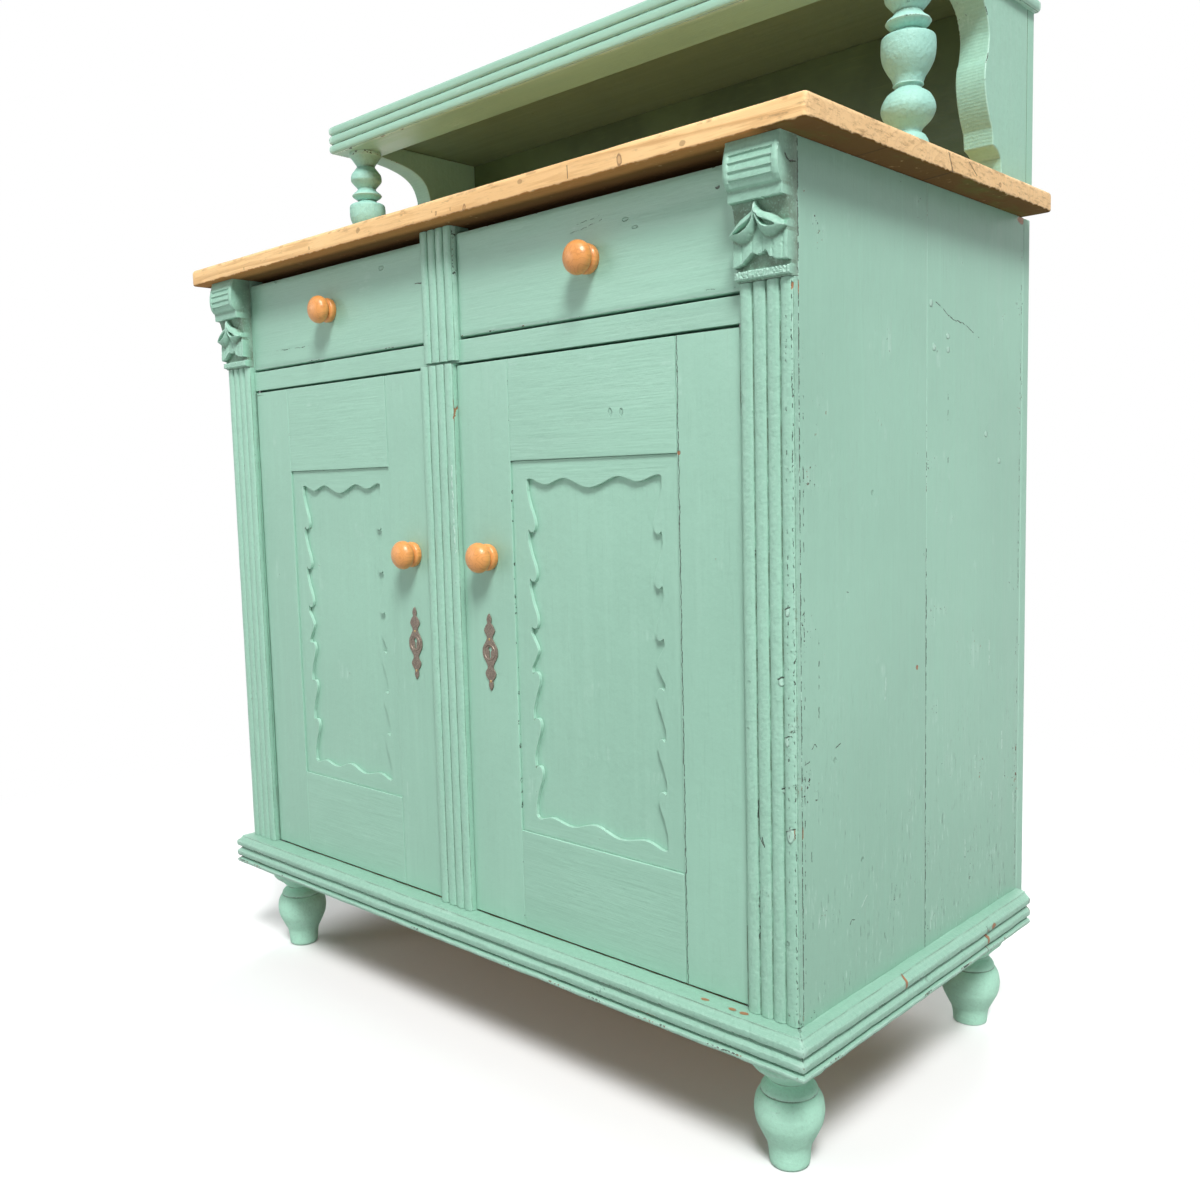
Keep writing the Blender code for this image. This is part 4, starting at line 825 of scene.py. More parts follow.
def old_metal(name, bright, dull, metallic, rough, scale):
    """Metal with spots and patches of tarnish."""
    material, shader = new_finish(name)
    plain = place_on(material)
    spots = clouds(plain, scale, 4, 0.65)
    colour = mixed(between(spots, 0.35, 0.7), bright, dull)
    colour = mixed(between(stored(material, "edge_wear"), 0.4, 1.0, 0, 0.45), colour, toned(bright, 1.6))
    roughness = between(clouds(plain, scale / 5, 3), 0.3, 0.7, rough, rough + 0.2)
    dress(shader, colour, roughness, spots, PITTING)
    shader.inputs["Metallic"].default_value = metallic
    return material


BRASS = old_metal("old_brass", (0.25, 0.205, 0.165, 1), (0.075, 0.055, 0.045, 1), 0.65, 0.42, 900)
BRASS_PIN = old_metal("brass_pins", (0.55, 0.38, 0.18, 1), (0.25, 0.16, 0.08, 1), 0.9, 0.35, 1500)
STEEL = old_metal("plain_steel", (0.36, 0.36, 0.37, 1), (0.20, 0.19, 0.18, 1), 1.0, 0.35, 500)
print("brass, brass pins and steel")

# %% [markdown]
# ## Camera, floor and light
#
# The camera stands a little right of the cupboard, at about two thirds of its height, as the photograph's
# straight edges give it. It could be framed by eye, but then every size would be compared wrongly. One
# large soft lamp from above on the right is the key. Two weaker lamps and a pale sky fill the left side,
# the back and the shadows, at a level where a colour renders about as it is written.

# %% Camera
CAMERA_PLACE = Vector((1.0474, -1.0944, 0.6745))
CAMERA_RIGHT = Vector((0.73098, 0.68194, -0.02513))
CAMERA_UP = Vector((-0.05009, 0.09035, 0.99465))
LENS = 34.367


def make_camera():
    """The photograph's viewpoint, as the picture's straight edges give it."""
    deselect()
    bpy.ops.object.camera_add(location=CAMERA_PLACE)
    camera = bpy.context.object
    back = CAMERA_RIGHT.cross(CAMERA_UP).normalized()
    right = CAMERA_UP.cross(back).normalized()
    up = back.cross(right)
    for row in range(3):
        camera.matrix_world[row][0] = right[row]
        camera.matrix_world[row][1] = up[row]
        camera.matrix_world[row][2] = back[row]
    camera.data.lens = LENS
    camera.data.sensor_width = 36
    camera.data.clip_start = 0.05
    bpy.context.scene.camera = camera


make_camera()
bpy.context.scene.view_settings.view_transform = "Standard"
print("camera at", tuple(CAMERA_PLACE))


# %% Light
SKY_ABOVE = 0.34
SKY_BELOW = 0.05
WHITE = (1, 1, 1, 1)


def make_lamp(name, place, target, size, power):
    """A large soft square white lamp that faces a point."""
    deselect()
    bpy.ops.object.light_add(type="AREA", location=place)
    lamp = bpy.context.object
    lamp.name = name
    lamp.data.size = size
    lamp.data.energy = power
    lamp.rotation_euler = (Vector(target) - Vector(place)).to_track_quat("-Z", "Y").to_euler()


def make_world():
    """A plain sky, brighter above than below, that looks white to the camera and to glossy surfaces."""
    world = bpy.data.worlds.new("studio")
    bpy.context.scene.world = world
    world.use_nodes = True
    background = world.node_tree.nodes["Background"]
    background.inputs["Color"].default_value = WHITE
    rays = first_node(world, "ShaderNodeLightPath").outputs
    seen = highest(rays["Is Camera Ray"], rays["Is Glossy Ray"], rays["Is Transmission Ray"])
    height = parts_of(first_node(world, "ShaderNodeTexCoord").outputs["Generated"])["Z"]
    level = between(height, 0.0, 1.0, SKY_BELOW, SKY_ABOVE, smooth=False)
    strength = node("ShaderNodeMix", {"Factor": seen, "A": level, "B": 1.0}).outputs["Result"]
    connect(background.inputs["Strength"], strength)


make_world()
make_lamp("key_lamp", (3.7, -3.5, 6.6), (0.1, -0.1, 0.6), 2.2, 720)
make_lamp("left_lamp", (-3.8, -4.9, 2.2), (0.0, -0.2, 0.3), 2.6, 50)
make_lamp("back_lamp", (-2.0, 5.0, 5.0), (0.0, 0.0, 0.7), 3.6, 300)
print("three lamps and a sky from", SKY_BELOW, "to", SKY_ABOVE)


# %% Floor
FLOOR_LIT = (0.44, 0.44, 0.43, 1)
FLOOR_SEEN = (0.90, 0.90, 0.90, 1)
FLOOR_SIZE = 60
SHADOW_REACH = 0.75
WHITE_FROM = 1.7


def make_floor():
    """A plain pale floor that takes the shadow near the cupboard and turns white further out."""
    deselect()
    bpy.ops.mesh.primitive_plane_add(size=FLOOR_SIZE, location=(0, 0, 0))
    floor = bpy.context.object
    floor.name = "floor"
    material, shader = new_finish("pale_floor")
    rays = first_node(material, "ShaderNodeLightPath").outputs
    connect(shader.inputs["Base Color"], mixed(rays["Is Camera Ray"], FLOOR_LIT, FLOOR_SEEN))
    shader.inputs["Roughness"].default_value = 0.9
    shader.inputs["Specular IOR Level"].default_value = 0.1
    glow = first_node(material, "ShaderNodeEmission", {"Color": WHITE, "Strength": 1.0}).outputs["Emission"]
    far = between(vectors("LENGTH", place_on(material)), SHADOW_REACH, WHITE_FROM)
    share = times(far, highest(rays["Is Camera Ray"], rays["Is Glossy Ray"]))
    blend = node("ShaderNodeMixShader", {0: share, 1: shader.outputs["BSDF"], 2: glow})
    connect(material.node_tree.nodes["Material Output"].inputs["Surface"], blend.outputs["Shader"])
    floor.data.materials.append(material)


make_floor()
print("floor ready")

# %% [markdown]
# ## Sides and back
#
# Each side is a board as deep as the carcass, and the back is six upright planks. A plank could be a cube
# with a bevel modifier. Here its arrises are bevelled in edit mode and its faces inset, so that the wear
# stored on the edge fades out within a few millimetres.

# %% Marks on the right side
SIDE_JOINT = 10.5 * MM
SIDE_SCRATCH = [(0.029, 0.854), (0.050, 0.846), (0.0695, 0.839), (0.093, 0.837), (0.131, 0.824)]
SIDE_LUMPS = [(0.019, 0.8515), (0.026, 0.8075), (0.057, 0.821), (0.0575, 0.807), (0.150, 0.72),
              (0.185, 0.69)]
REAR_FLAKES = [((0.0577, 0.763), (0.0581, 0.730)), ((0.0584, 0.699), (0.0586, 0.682)),
               ((0.1834, 0.289), (0.1841, 0.255)), ((0.2420, 0.955), (0.2400, 0.18))]
FRONT_FLAKE = [(-0.1964, 0.533), (-0.1973, 0.455)]
REAR_SCUFFS = [((0.1631, 0.4855), (0.1637, 0.4563)), ((0.1291, 0.356), (0.1293, 0.342)),
               ((0.1722, 0.306), (0.1723, 0.296)), ((0.2340, 0.2932), (0.2350, 0.2656)),
               ((0.1052, 0.2640), (0.1054, 0.2460)), ((0.200, 0.372), (0.2005, 0.352))]
FRONT_SCUFFS = [((-0.0735, 0.4740), (-0.0760, 0.4480)), ((-0.110, 0.262), (-0.128, 0.247))]
FRONT_NICKS = [[(-0.2094, 0.4269), (-0.2050, 0.4310), (-0.2010, 0.4280)],
               [(-0.2212, 0.4152), (-0.214, 0.4160)],
               [(-0.1438, 0.2403), (-0.1395, 0.2440), (-0.1350, 0.2425)],
               [(-0.2106, 0.3300), (-0.2110, 0.3210)],
               [(-0.0760, 0.2110), (-0.0750, 0.2050)],
               [(-0.1680, 0.4210), (-0.1600, 0.4240)]]
FRONT_SEAM = [((FACE + 0.5 * MM, 0.968), (FACE + 0.5 * MM, 0.18)),
              ((FACE + 7.0 * MM, 0.80), (FACE + 5.0 * MM, 0.20))]


def on_side(points):
    """Places on the right side's face, from (depth, height)."""
    return [(HALF, depth, height) for depth, height in points]


def side_lines(lines, *form):
    """Lines on the right side's face, each with the same width and, for a crack, the same gaps."""
    return [(on_side(points), *form) for points in lines]


def placed(points, radii):
    """Spots of one size at several places."""
    return [(point, radii) for point in points]


JOINT_LINE = (on_side([(SIDE_JOINT, 0.60), (SIDE_JOINT, 0.17)]), 0.75 * MM, 0.0)
SIDE_FRONT = sage(
    "sage_side_front_board", 2, chips=1.05, pits=0.95, low=1.0, bands=[(1, FACE, 0.045)],
    marks={
        "keep": (0, 1, 1),
        "cracks": [*side_lines(FRONT_SEAM[:1], 1.0 * MM, 0.38), *side_lines(FRONT_SEAM[1:], 0.7 * MM, 0.54),
                   JOINT_LINE, *side_lines([FRONT_FLAKE], 0.7 * MM, 0.52),
                   *side_lines(FRONT_NICKS, 0.6 * MM, 0.0)],
        "scuffs": side_lines(FRONT_SCUFFS, 1.1 * MM),
        "bare": [*placed(on_side([(-0.009, 0.4772)]), 2.6 * MM),
                 *placed(on_side([(-0.2262, 0.842), (-0.2258, 0.352)]), (2 * MM, 0.8 * MM, 7 * MM))],
        "dents": placed(on_side([(-0.12, 0.30), (-0.17, 0.41), (-0.1, 0.66)]), 2.2 * MM)})
SIDE_REAR = sage(
    "sage_side_rear_board", 2, chips=0.95, pits=0.9, move=(0, 0, 3), low=1.0,
    bands=[(1, BACK - 20 * MM, 0.03)],
    marks={
        "keep": (0, 1, 1),
        "cracks": [JOINT_LINE, *side_lines([SIDE_SCRATCH], 0.55 * MM, 0.36),
                   *side_lines(REAR_FLAKES, 0.8 * MM, 0.52)],
        "scuffs": side_lines(REAR_SCUFFS, 1.5 * MM),
        "bare": [((HALF, 0.2440, 0.9665), (8 * MM, 17 * MM, 4.5 * MM))],
        "dabs": placed(on_side(SIDE_LUMPS), 3.5 * MM)})
print("marks on the right side's two boards")

# %% Side panels and back planks
SIDE_ARRIS = 0.8 * MM
PLANK_ARRIS = 1.8 * MM
PLANK_COUNT = 6


def make_sides():
    """Each side is two boards, edge to edge, whose joint has opened a little."""
    for hand in ("left", "right"):
        name = f"side_panel_{hand}"
        low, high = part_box(name)
        boards = (("front", low, (high.x, SIDE_JOINT, high.z), SIDE_FRONT, 3.0),
                  ("rear", (low.x, SIDE_JOINT, low.z), high, SIDE_REAR, 8.0))
        for place, start, end, marked, seed in boards:
            piece = board(start, end, SIDE_ARRIS, 2, cuts=14, unevenness=0.18 * MM, seed=seed)
            finish = marked if hand == "right" else SAGE_UPRIGHT
            complete(piece, f"side_board_{hand}_{place}", ROOT, finish, [name])


def make_back():
    """Six upright planks, whose softened arrises make the grooves between them."""
    low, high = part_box("back_boards")
    width = (high.x - low.x) / PLANK_COUNT
    for index in range(PLANK_COUNT):
        left = Vector((low.x + width * index, low.y, low.z))
        right = Vector((left.x + width, high.y, high.z))
        plank = board(left, right, PLANK_ARRIS, 2, unevenness=0.1 * MM, seed=index)
        complete(plank, f"back_plank_{index + 1}", ROOT, SAGE_UPRIGHT, ["back_boards"])


make_sides()
make_back()
print("four side boards and six back planks")

# %% [markdown]
# ## Doors and drawer fronts
#
# Each door is a frame of two stiles and two rails round a thin panel. The joints between them show as fine
# lines, so the four boards are separate pieces with their own softened arrises, not grooves in one board.

# %% Marks on the doors and drawers
FACE_ONLY = (1, 0, 1)


def on_front(points):
    """Places on the face of doors and drawers, from (place across, height)."""
    return [(across, FACE, height) for across, height in points]


DRAWER_FINISH = {
    "left": sage(
        "sage_drawer_left", 0, chips=0.8, move=(1, 0, 0),
        marks={
            "keep": FACE_ONLY,
            "dents": placed(on_front([(-0.1174, 0.9436), (-0.3533, 0.9603)]), (5 * MM, 1, 2.2 * MM)),
            "cracks": [(on_front([(-0.052, 0.9156), (-0.036, 0.9158)]), 0.9 * MM, 0.0),
                       (on_front([(-0.36, 0.8675), (-0.28, 0.8665)]), 0.45 * MM, 0.45)]}),
    "right": sage(
        "sage_drawer_right", 0, chips=0.8, move=(3, 0, 0),
        marks={
            "keep": FACE_ONLY,
            "dents": placed(on_front([(0.2807, 0.9334), (0.2935, 0.9237)]), (4 * MM, 1, 1.8 * MM)),
            "cracks": [(on_front([(0.3700, 0.8520), (0.3850, 0.8516), (0.4130, 0.8508)]), 0.30 * MM, 0.5),
                       (on_front([(0.3935, 0.9424), (0.3955, 0.9424)]), 1.4 * MM, 0.0),
                       (on_front([(0.204, 0.9375), (0.226, 0.9400), (0.246, 0.9425)]), 0.22 * MM, 0.46),
                       (on_front([(0.206, 0.9320), (0.228, 0.9345), (0.250, 0.9380)]), 0.22 * MM, 0.46)]}),
}
RAIL_FINISH = sage(
    "sage_right_top_rail", 0, rub_and_sheen=0.15, move=(5, 0, 0),
    marks={
        "keep": FACE_ONLY,
        "dents": placed(on_front([(0.2546, 0.7475), (0.2696, 0.7466)]), (2.2 * MM, 1, 4 * MM))})
STILE_FINISH = sage(
    "sage_right_hinge_stile", 2, rub_and_sheen=0.2, move=(0, 0, 5),
    marks={
        "keep": FACE_ONLY,
        "bare": placed(on_front([(0.3432, 0.7033)]), 2.0 * MM),
        "cracks": [(on_front([(0.3428, 0.814), (0.3428, 0.17)]), 0.60 * MM, 0.28)]})
LOCK_FINISH = sage(
    "sage_right_lock_stile", 2, rub_and_sheen=0.2, move=(0, 0, 7),
    marks={
        "keep": FACE_ONLY,
        "cracks": [(on_front([(0.1032, 0.814), (0.1032, 0.17)]), 0.35 * MM, 0.40)]})
print("marks on two drawers and on the right door's rail and stiles")

# %% Door frames
HINGE_ROUND = 4.2 * MM
HINGE_STILE_ARRIS = 0.7 * MM
LOCK_STILE_ARRIS = 0.9 * MM
RAIL_ARRIS = 0.7 * MM
LEFT_JOINT = 0.35 * MM
RIGHT_JOINT = 0.70 * MM


def make_door_frame(hand, side):
    """Stiles and rails of one door. The outer edge is rounded, so that it clears the strip as it turns."""
    body = f"door_{hand}"
    hinge_low, hinge_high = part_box(f"{body}_hinge_stile")
    lock_low, lock_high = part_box(f"{body}_lock_stile")
    outer = hinge_low.x if side < 0 else hinge_high.x
    marked = hand == "right"
    stile = board(hinge_low, hinge_high, HINGE_STILE_ARRIS, 2, seed=side + 5)
    soften(stile, HINGE_ROUND - HINGE_STILE_ARRIS, 3, 20,
           lambda edge: abs(middle(edge).x - outer) < 1 * MM and middle(edge).y < FACE + 1 * MM)
    finish = STILE_FINISH if marked else SAGE_FRAME
    complete(stile, f"{body}_outer_stile", body, finish, [f"{body}_hinge_stile"])
    stile = board(lock_low, lock_high, LOCK_STILE_ARRIS, 2, seed=side + 7)
    finish = LOCK_FINISH if marked else SAGE_FRAME
    complete(stile, f"{body}_inner_stile", body, finish, [f"{body}_lock_stile"])
    left = min(hinge_high.x, lock_high.x) + LEFT_JOINT
    right = max(hinge_low.x, lock_low.x) - RIGHT_JOINT
    for place in ("top_rail", "bottom_rail"):
        low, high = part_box(f"{body}_{place}")
        rail = board((left, low.y, low.z), (right, high.y, high.z), RAIL_ARRIS, 0, seed=side + 9 + low.z)
        finish = RAIL_FINISH if marked and place == "top_rail" else SAGE_RAIL
        complete(rail, f"{body}_{place}_board", body, finish, [f"{body}_{place}"])


make_door_frame("left", -1)
make_door_frame("right", 1)
print("two door frames")

# %% Drawer fronts and the rail
DRAWER_ARRIS = 3.0 * MM
DRAWER_RAIL_ARRIS = 0.8 * MM
OPENING_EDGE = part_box("corner_strip_right")[0].x


def make_drawer_front(hand):
    """A drawer's front, with well rounded arrises."""
    name = f"drawer_{hand}_front"
    low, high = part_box(name)
    front = board(low, high, DRAWER_ARRIS, 0, cuts=16, unevenness=0.45 * MM, seed=low.x)
    complete(front, f"drawer_{hand}_face", f"drawer_{hand}", DRAWER_FINISH[hand], [name])


def make_drawer_rail():
    """The rail between doors and drawers, as far as it shows."""
    low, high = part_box("drawer_rail")
    start = (-OPENING_EDGE, low.y, low.z)
    rail = board(start, (OPENING_EDGE, high.y, high.z), DRAWER_RAIL_ARRIS, 0, seed=2)
    complete(rail, "drawer_rail_board", ROOT, SAGE_LEVEL, ["drawer_rail"])


make_drawer_front("left")
make_drawer_front("right")
make_drawer_rail()
print("two drawer fronts and the rail under them")

# %% [markdown]
# ## The wavy fret strips
#
# Four thin strips are let in round each panel. Their inner edges are sawn in waves above and below, and in
# a row of drooping hooks at the sides. Each strip is drawn as an outline with its mitred ends and extruded
# to its thickness. A curve object could be filled too, but an outline in edit mode bevels more evenly.

# %% Fret strips
FRET_NARROW = 22.5 * MM
FRET_ARRIS = 0.65 * MM
FRET_TOP = 20.0 * MM
FRET_TOP_WAVE = 11.0 * MM
FRET_BOTTOM = 17.0 * MM
FRET_BOTTOM_WAVE = 9.0 * MM
HOOK_TIPS = (24.0, 76.5, 131.0)
MIDDLE_HOOK = [(0, 10.5), (5, 9), (14, 3.5), (20, 0)]
HOOK = [(2.2, 1.2), (1.0, 3.2), (0.1, 5.6), (0.6, 8.2), (2.6, 10.1), (6, 11.3), (10, 11.5), (18, 9.5),
        (28, 5.2), (38, 2), (46, 0)]
HOOK_MARGIN = 30 * MM
TOP_WAVE = [(0.0, 0.12), (0.035, 0.0), (0.155, 0.62), (0.30, 0.02), (0.49, 1.0), (0.69, 0.02),
            (0.835, 0.55), (0.96, 0.0), (1.0, 0.10)]
BOTTOM_WAVE = [(0.0, 0.5), (0.03, 0.05), (0.135, 0.60), (0.29, 0.05), (0.47, 1.0), (0.65, 0.05),
               (0.84, 0.70), (0.965, 0.05), (1.0, 0.3)]


def hook_line(half_height):
    """Half of a side strip's inner edge, from the middle outwards: (offset from the middle, width)."""
    line = MIDDLE_HOOK + [(tip + along, out) for tip in HOOK_TIPS for along, out in HOOK]
    line = [(along * MM, FRET_NARROW + out * MM) for along, out in line]
    return [point for point in line if point[0] < half_height - HOOK_MARGIN]


def wave_line(points, low, wave):
    """A top or bottom strip's inner edge: (share of its length, width)."""
    return smooth_line([(share, low + wave * rise) for share, rise in points], 5)


def is_mitre(edge):
    """Whether an edge is the long slanting end where two strips meet."""
    run = edge.verts[0].co - edge.verts[1].co
    return min(abs(run.x), abs(run.z)) > FRET_BOTTOM / 2


def make_fret(hand):
    """The four strips round one door's panel."""
    body = f"door_{hand}"
    low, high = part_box(f"{body}_fret")
    left, right, bottom, top = low.x, high.x, low.z, high.z
    centre = (bottom + top) / 2
    inner_left = left + FRET_NARROW
    inner_right = right - FRET_NARROW
    length = inner_right - inner_left
    top_edge = [(inner_left + length * share, top - width) for share, width in
                wave_line(TOP_WAVE, FRET_TOP, FRET_TOP_WAVE)]
    bottom_edge = [(inner_left + length * share, bottom + width) for share, width in
                   wave_line(BOTTOM_WAVE, FRET_BOTTOM, FRET_BOTTOM_WAVE)]
    half = smooth_line(hook_line((top - bottom) / 2), 3)
    offsets = half[::-1] + [(-offset, width) for offset, width in half[1:]]
    left_edge = [(left + width, centre + offset) for offset, width in offsets]
    right_edge = [(right - width, centre + offset) for offset, width in offsets]
    strips = {
        "top": [(left, top)] + top_edge + [(right, top)],
        "bottom": [(left, bottom)] + bottom_edge + [(right, bottom)],
        "left": [(left, top), top_edge[0]] + left_edge + [bottom_edge[0], (left, bottom)],
        "right": [(right, top), top_edge[-1]] + right_edge + [bottom_edge[-1], (right, bottom)],
    }
    for place, loop in strips.items():
        strip = outline_piece([loop], 1, low.y, high.y)
        soften(strip, FRET_ARRIS, 2, 30,
               lambda edge: middle(edge).y < low.y + NEAR and not is_mitre(edge))
        wander(strip, 0.1 * MM, 30 * MM, 1.0)
        finish = SAGE_UPRIGHT if place in ("left", "right") else SAGE_LEVEL
        complete(strip, f"{body}_fret_{place}", body, finish, [f"{body}_fret"], angle=30)


make_fret("left")
make_fret("right")
print("eight fret strips")

# %% [markdown]
# ## Reeded strips, plinth and gallery moulding
#
# These are mouldings: one profile run along a length. The profile is drawn once, extruded in many short
# steps so that the wear can wander, and cut at 45 degrees where two lengths meet at a corner. An array or a
# bevelled curve would give the same line, but with no say over each end.

# %% Marks on the reeded strips
REED_COUNT = 4
CORNER_PITCH = (HALF - OPENING_EDGE) / REED_COUNT
REED_SPLIT = [(0.4367, 0.3790), (0.4362, 0.3600), (0.4385, 0.3440), (0.4441, 0.3345), (0.4425, 0.3430)]
CORNER_CHIPS = [((0.4696, 0.4406), 3.0), ((0.4730, 0.3537), 4.5), ((0.4640, 0.4944), 2.2),
                ((0.4658, 0.3927), 1.8), ((0.4719, 0.5586), 2.4)]
CORNER_HOLES = [((0.4686, 0.2475), 2.4), ((0.4293, 0.4890), 1.3), ((0.4264, 0.4443), 1.3)]
CORNER_BARE = [((0.4785, FACE, 0.8426), (0.6 * MM, 1, 4 * MM)),
               ((0.4775, FACE, 0.3530), (0.6 * MM, 1, 6 * MM))]


def corner_finish():
    """Sage paint of the right corner strip, which has taken the most knocks."""
    groove = OPENING_EDGE + CORNER_PITCH
    lines = [(on_front([(groove, 0.320), (groove, 0.235)]), 0.8 * MM, 0.46),
             (on_front([(groove, 0.62), (groove, 0.45)]), 0.5 * MM, 0.56),
             (on_front(REED_SPLIT), 0.8 * MM, 0.0),
             (on_front([(HALF - 1.8 * MM, 0.85), (HALF - 2.0 * MM, 0.175)]), 0.35 * MM, 0.50),
             (on_front([(HALF - 7.0 * MM, 0.84), (HALF - 8.0 * MM, 0.30)]), 0.5 * MM, 0.56)]
    nicks = [(on_front([(x - size * MM, z), (x + size * MM, z + size * MM)]), 0.9 * MM, 0.0)
             for (x, z), size in CORNER_CHIPS]
    lips = [((x, FACE, z - 3 * MM), (size * MM, 1, size * 1.5 * MM)) for (x, z), size in CORNER_CHIPS]
    holes = [((x, FACE, z), size * MM) for (x, z), size in CORNER_HOLES]
    return sage("sage_corner_right", 2, chips=0.95, pits=1.0, rough=2.2, low=0.6, bands=[(0, HALF, 0.018)],
                marks={"keep": FACE_ONLY, "cracks": lines + nicks, "dabs": lips, "dents": holes,
                       "bare": CORNER_BARE})


def centre_finish():
    """Sage paint of the lower centre strip, with one streak of bare wood near its head."""
    return sage("sage_centre_strip", 2, chips=0.85, pits=0.8, rough=1.8, move=(0, 0, 9),
                marks={"keep": FACE_ONLY,
                       "bare": [((0.0165, FACE, 0.7625), (0.5 * MM, 1, 14 * MM))],
                       "scuffs": [(on_front([(0.0120, 0.70), (0.0130, 0.60)]), 1.2 * MM)]})


print("marks on the right corner strip and the lower centre strip")

# %% Reeded strips
REED_DEPTH = 3.2 * MM
REED_QUIRK = 0.06
REED_STEPS = 12
REED_FULLNESS = 0.80
STRIP_STEPS = 44
STRIP_END_ARRIS = 0.5 * MM


def reed_profile(start, end, count, depth):
    """Round reeds with a narrow quirk between them: (place across, height)."""
    pitch = (end - start) / count
    quirk = pitch * REED_QUIRK
    line = []
    for reed in range(count):
        first = start + pitch * reed + quirk
        last = start + pitch * (reed + 1) - quirk
        for step in range(REED_STEPS + 1):
            angle = math.pi * step / REED_STEPS
            place = (first + last) / 2 - (last - first) / 2 * math.cos(angle)
            line.append((place, depth * math.sin(angle) ** REED_FULLNESS))
    return line


def make_strip(node_name, name, seed, finish):
    """One upright reeded strip."""
    low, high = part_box(node_name)
    base = low.y + REED_DEPTH
    reeds = [(x, base - lift) for x, lift in reed_profile(low.x, high.x, REED_COUNT, REED_DEPTH)]
    outline = [(low.x, high.y), (low.x, base), *reeds, (high.x, base), (high.x, high.y)]
    strip = outline_piece([outline], 2, low.z, high.z, steps=STRIP_STEPS)

    def at_an_end(edge):
        """Whether an edge runs round one end of the strip, except along its back."""
        place = middle(edge)
        return abs(place.y - high.y) > 1 * MM and min(abs(place.z - low.z), abs(place.z - high.z)) < NEAR

    soften(strip, STRIP_END_ARRIS, 2, 60, at_an_end)
    wander(strip, 0.25 * MM, 35 * MM, seed)
    complete(strip, name, ROOT, finish, [node_name], angle=32)


make_strip("corner_strip_left", "corner_reeds_left", 0.3, SAGE_STRIP)
make_strip("corner_strip_right", "corner_reeds_right", 4.1, corner_finish())
make_strip("centre_strip_lower", "centre_reeds_lower", 7.7, centre_finish())
make_strip("centre_strip_upper", "centre_reeds_upper", 9.2, SAGE_STRIP)
print("four reeded strips")

# %% Plinth
PLINTH_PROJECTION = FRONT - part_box("plinth_front")[0].y
PLINTH_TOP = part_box("plinth_front")[1].z
PLINTH_REED_DEPTH = 6.2 * MM
PLINTH_LEDGE_DROP = 2.5 * MM
PLINTH_LEDGE = 5.0 * MM
PLINTH_PITCH = 14.7 * MM
PLINTH_WANDER = (0.6 * MM, 25 * MM)
REED_SHAPE = [(0.0, 0.0), (0.03, 0.45), (0.09, 0.86), (0.22, 0.97), (0.46, 1.0), (0.56, 0.93),
              (0.66, 0.72), (0.80, 0.34), (0.92, 0.10)]
SIDE_RUST = [((0.1306, 0.1445), (2.6, 11.0)), ((0.1440, 0.1550), (5.0, 4.0)),
             ((-0.0625, 0.1575), (2.4, 9.0))]
SIDE_HOLES = [((-0.0148, 0.1455), 3.0), ((0.1400, 0.1500), 2.2)]
FRONT_RUST = (0.375, 0.408, 0.422)
# The plinth's faces that look up are darkened as painted shade.
PLINTH_WEAR_AND_SHADE = {"tone": 0.95, "chips": 1.1, "pits": 1.0, "rub_and_sheen": 0.45, "rough": 2.8, "ledge": 0.55}
SAGE_PLINTH_SIDE = sage(
    "sage_plinth_side", 1, **PLINTH_WEAR_AND_SHADE,
    marks={
        "keep": (0, 1, 1),
        "bare": [((0, y, z), (1, across * MM, up * MM)) for (y, z), (across, up) in SIDE_RUST],
        "dents": [((0, y, z), size * MM) for (y, z), size in SIDE_HOLES],
        "cracks": [([(0, 0.1265, 0.160), (0, 0.1300, 0.128)], 0.8 * MM, 0.0)]})
RUST_PLACES = [(x, FRONT - PLINTH_LEDGE, PLINTH_TOP) for x in FRONT_RUST]
SAGE_PLINTH_FRONT = sage(
    "sage_plinth_front", 0, **PLINTH_WEAR_AND_SHADE, move=(0, 0, 4),
    marks={"bare": placed(RUST_PLACES, (5 * MM, 2.5 * MM, 2 * MM))})


def plinth_profile():
    """The plinth's outer face from its foot up: (distance out from the carcass, height)."""
    base = PLINTH_PROJECTION - PLINTH_REED_DEPTH
    first = PLINTH_TOP - PLINTH_LEDGE_DROP
    grooves = [FOOT_TOP, first - 2 * PLINTH_PITCH, first - PLINTH_PITCH, first]
    profile = []
    for foot, head in zip(grooves, grooves[1:]):
        rise = head - foot
        profile += [(base + PLINTH_REED_DEPTH * lift, foot + rise * share) for share, lift in REED_SHAPE]
    profile += [(base, first), (base, first + 0.8 * MM), (PLINTH_LEDGE, PLINTH_TOP)]
    return profile


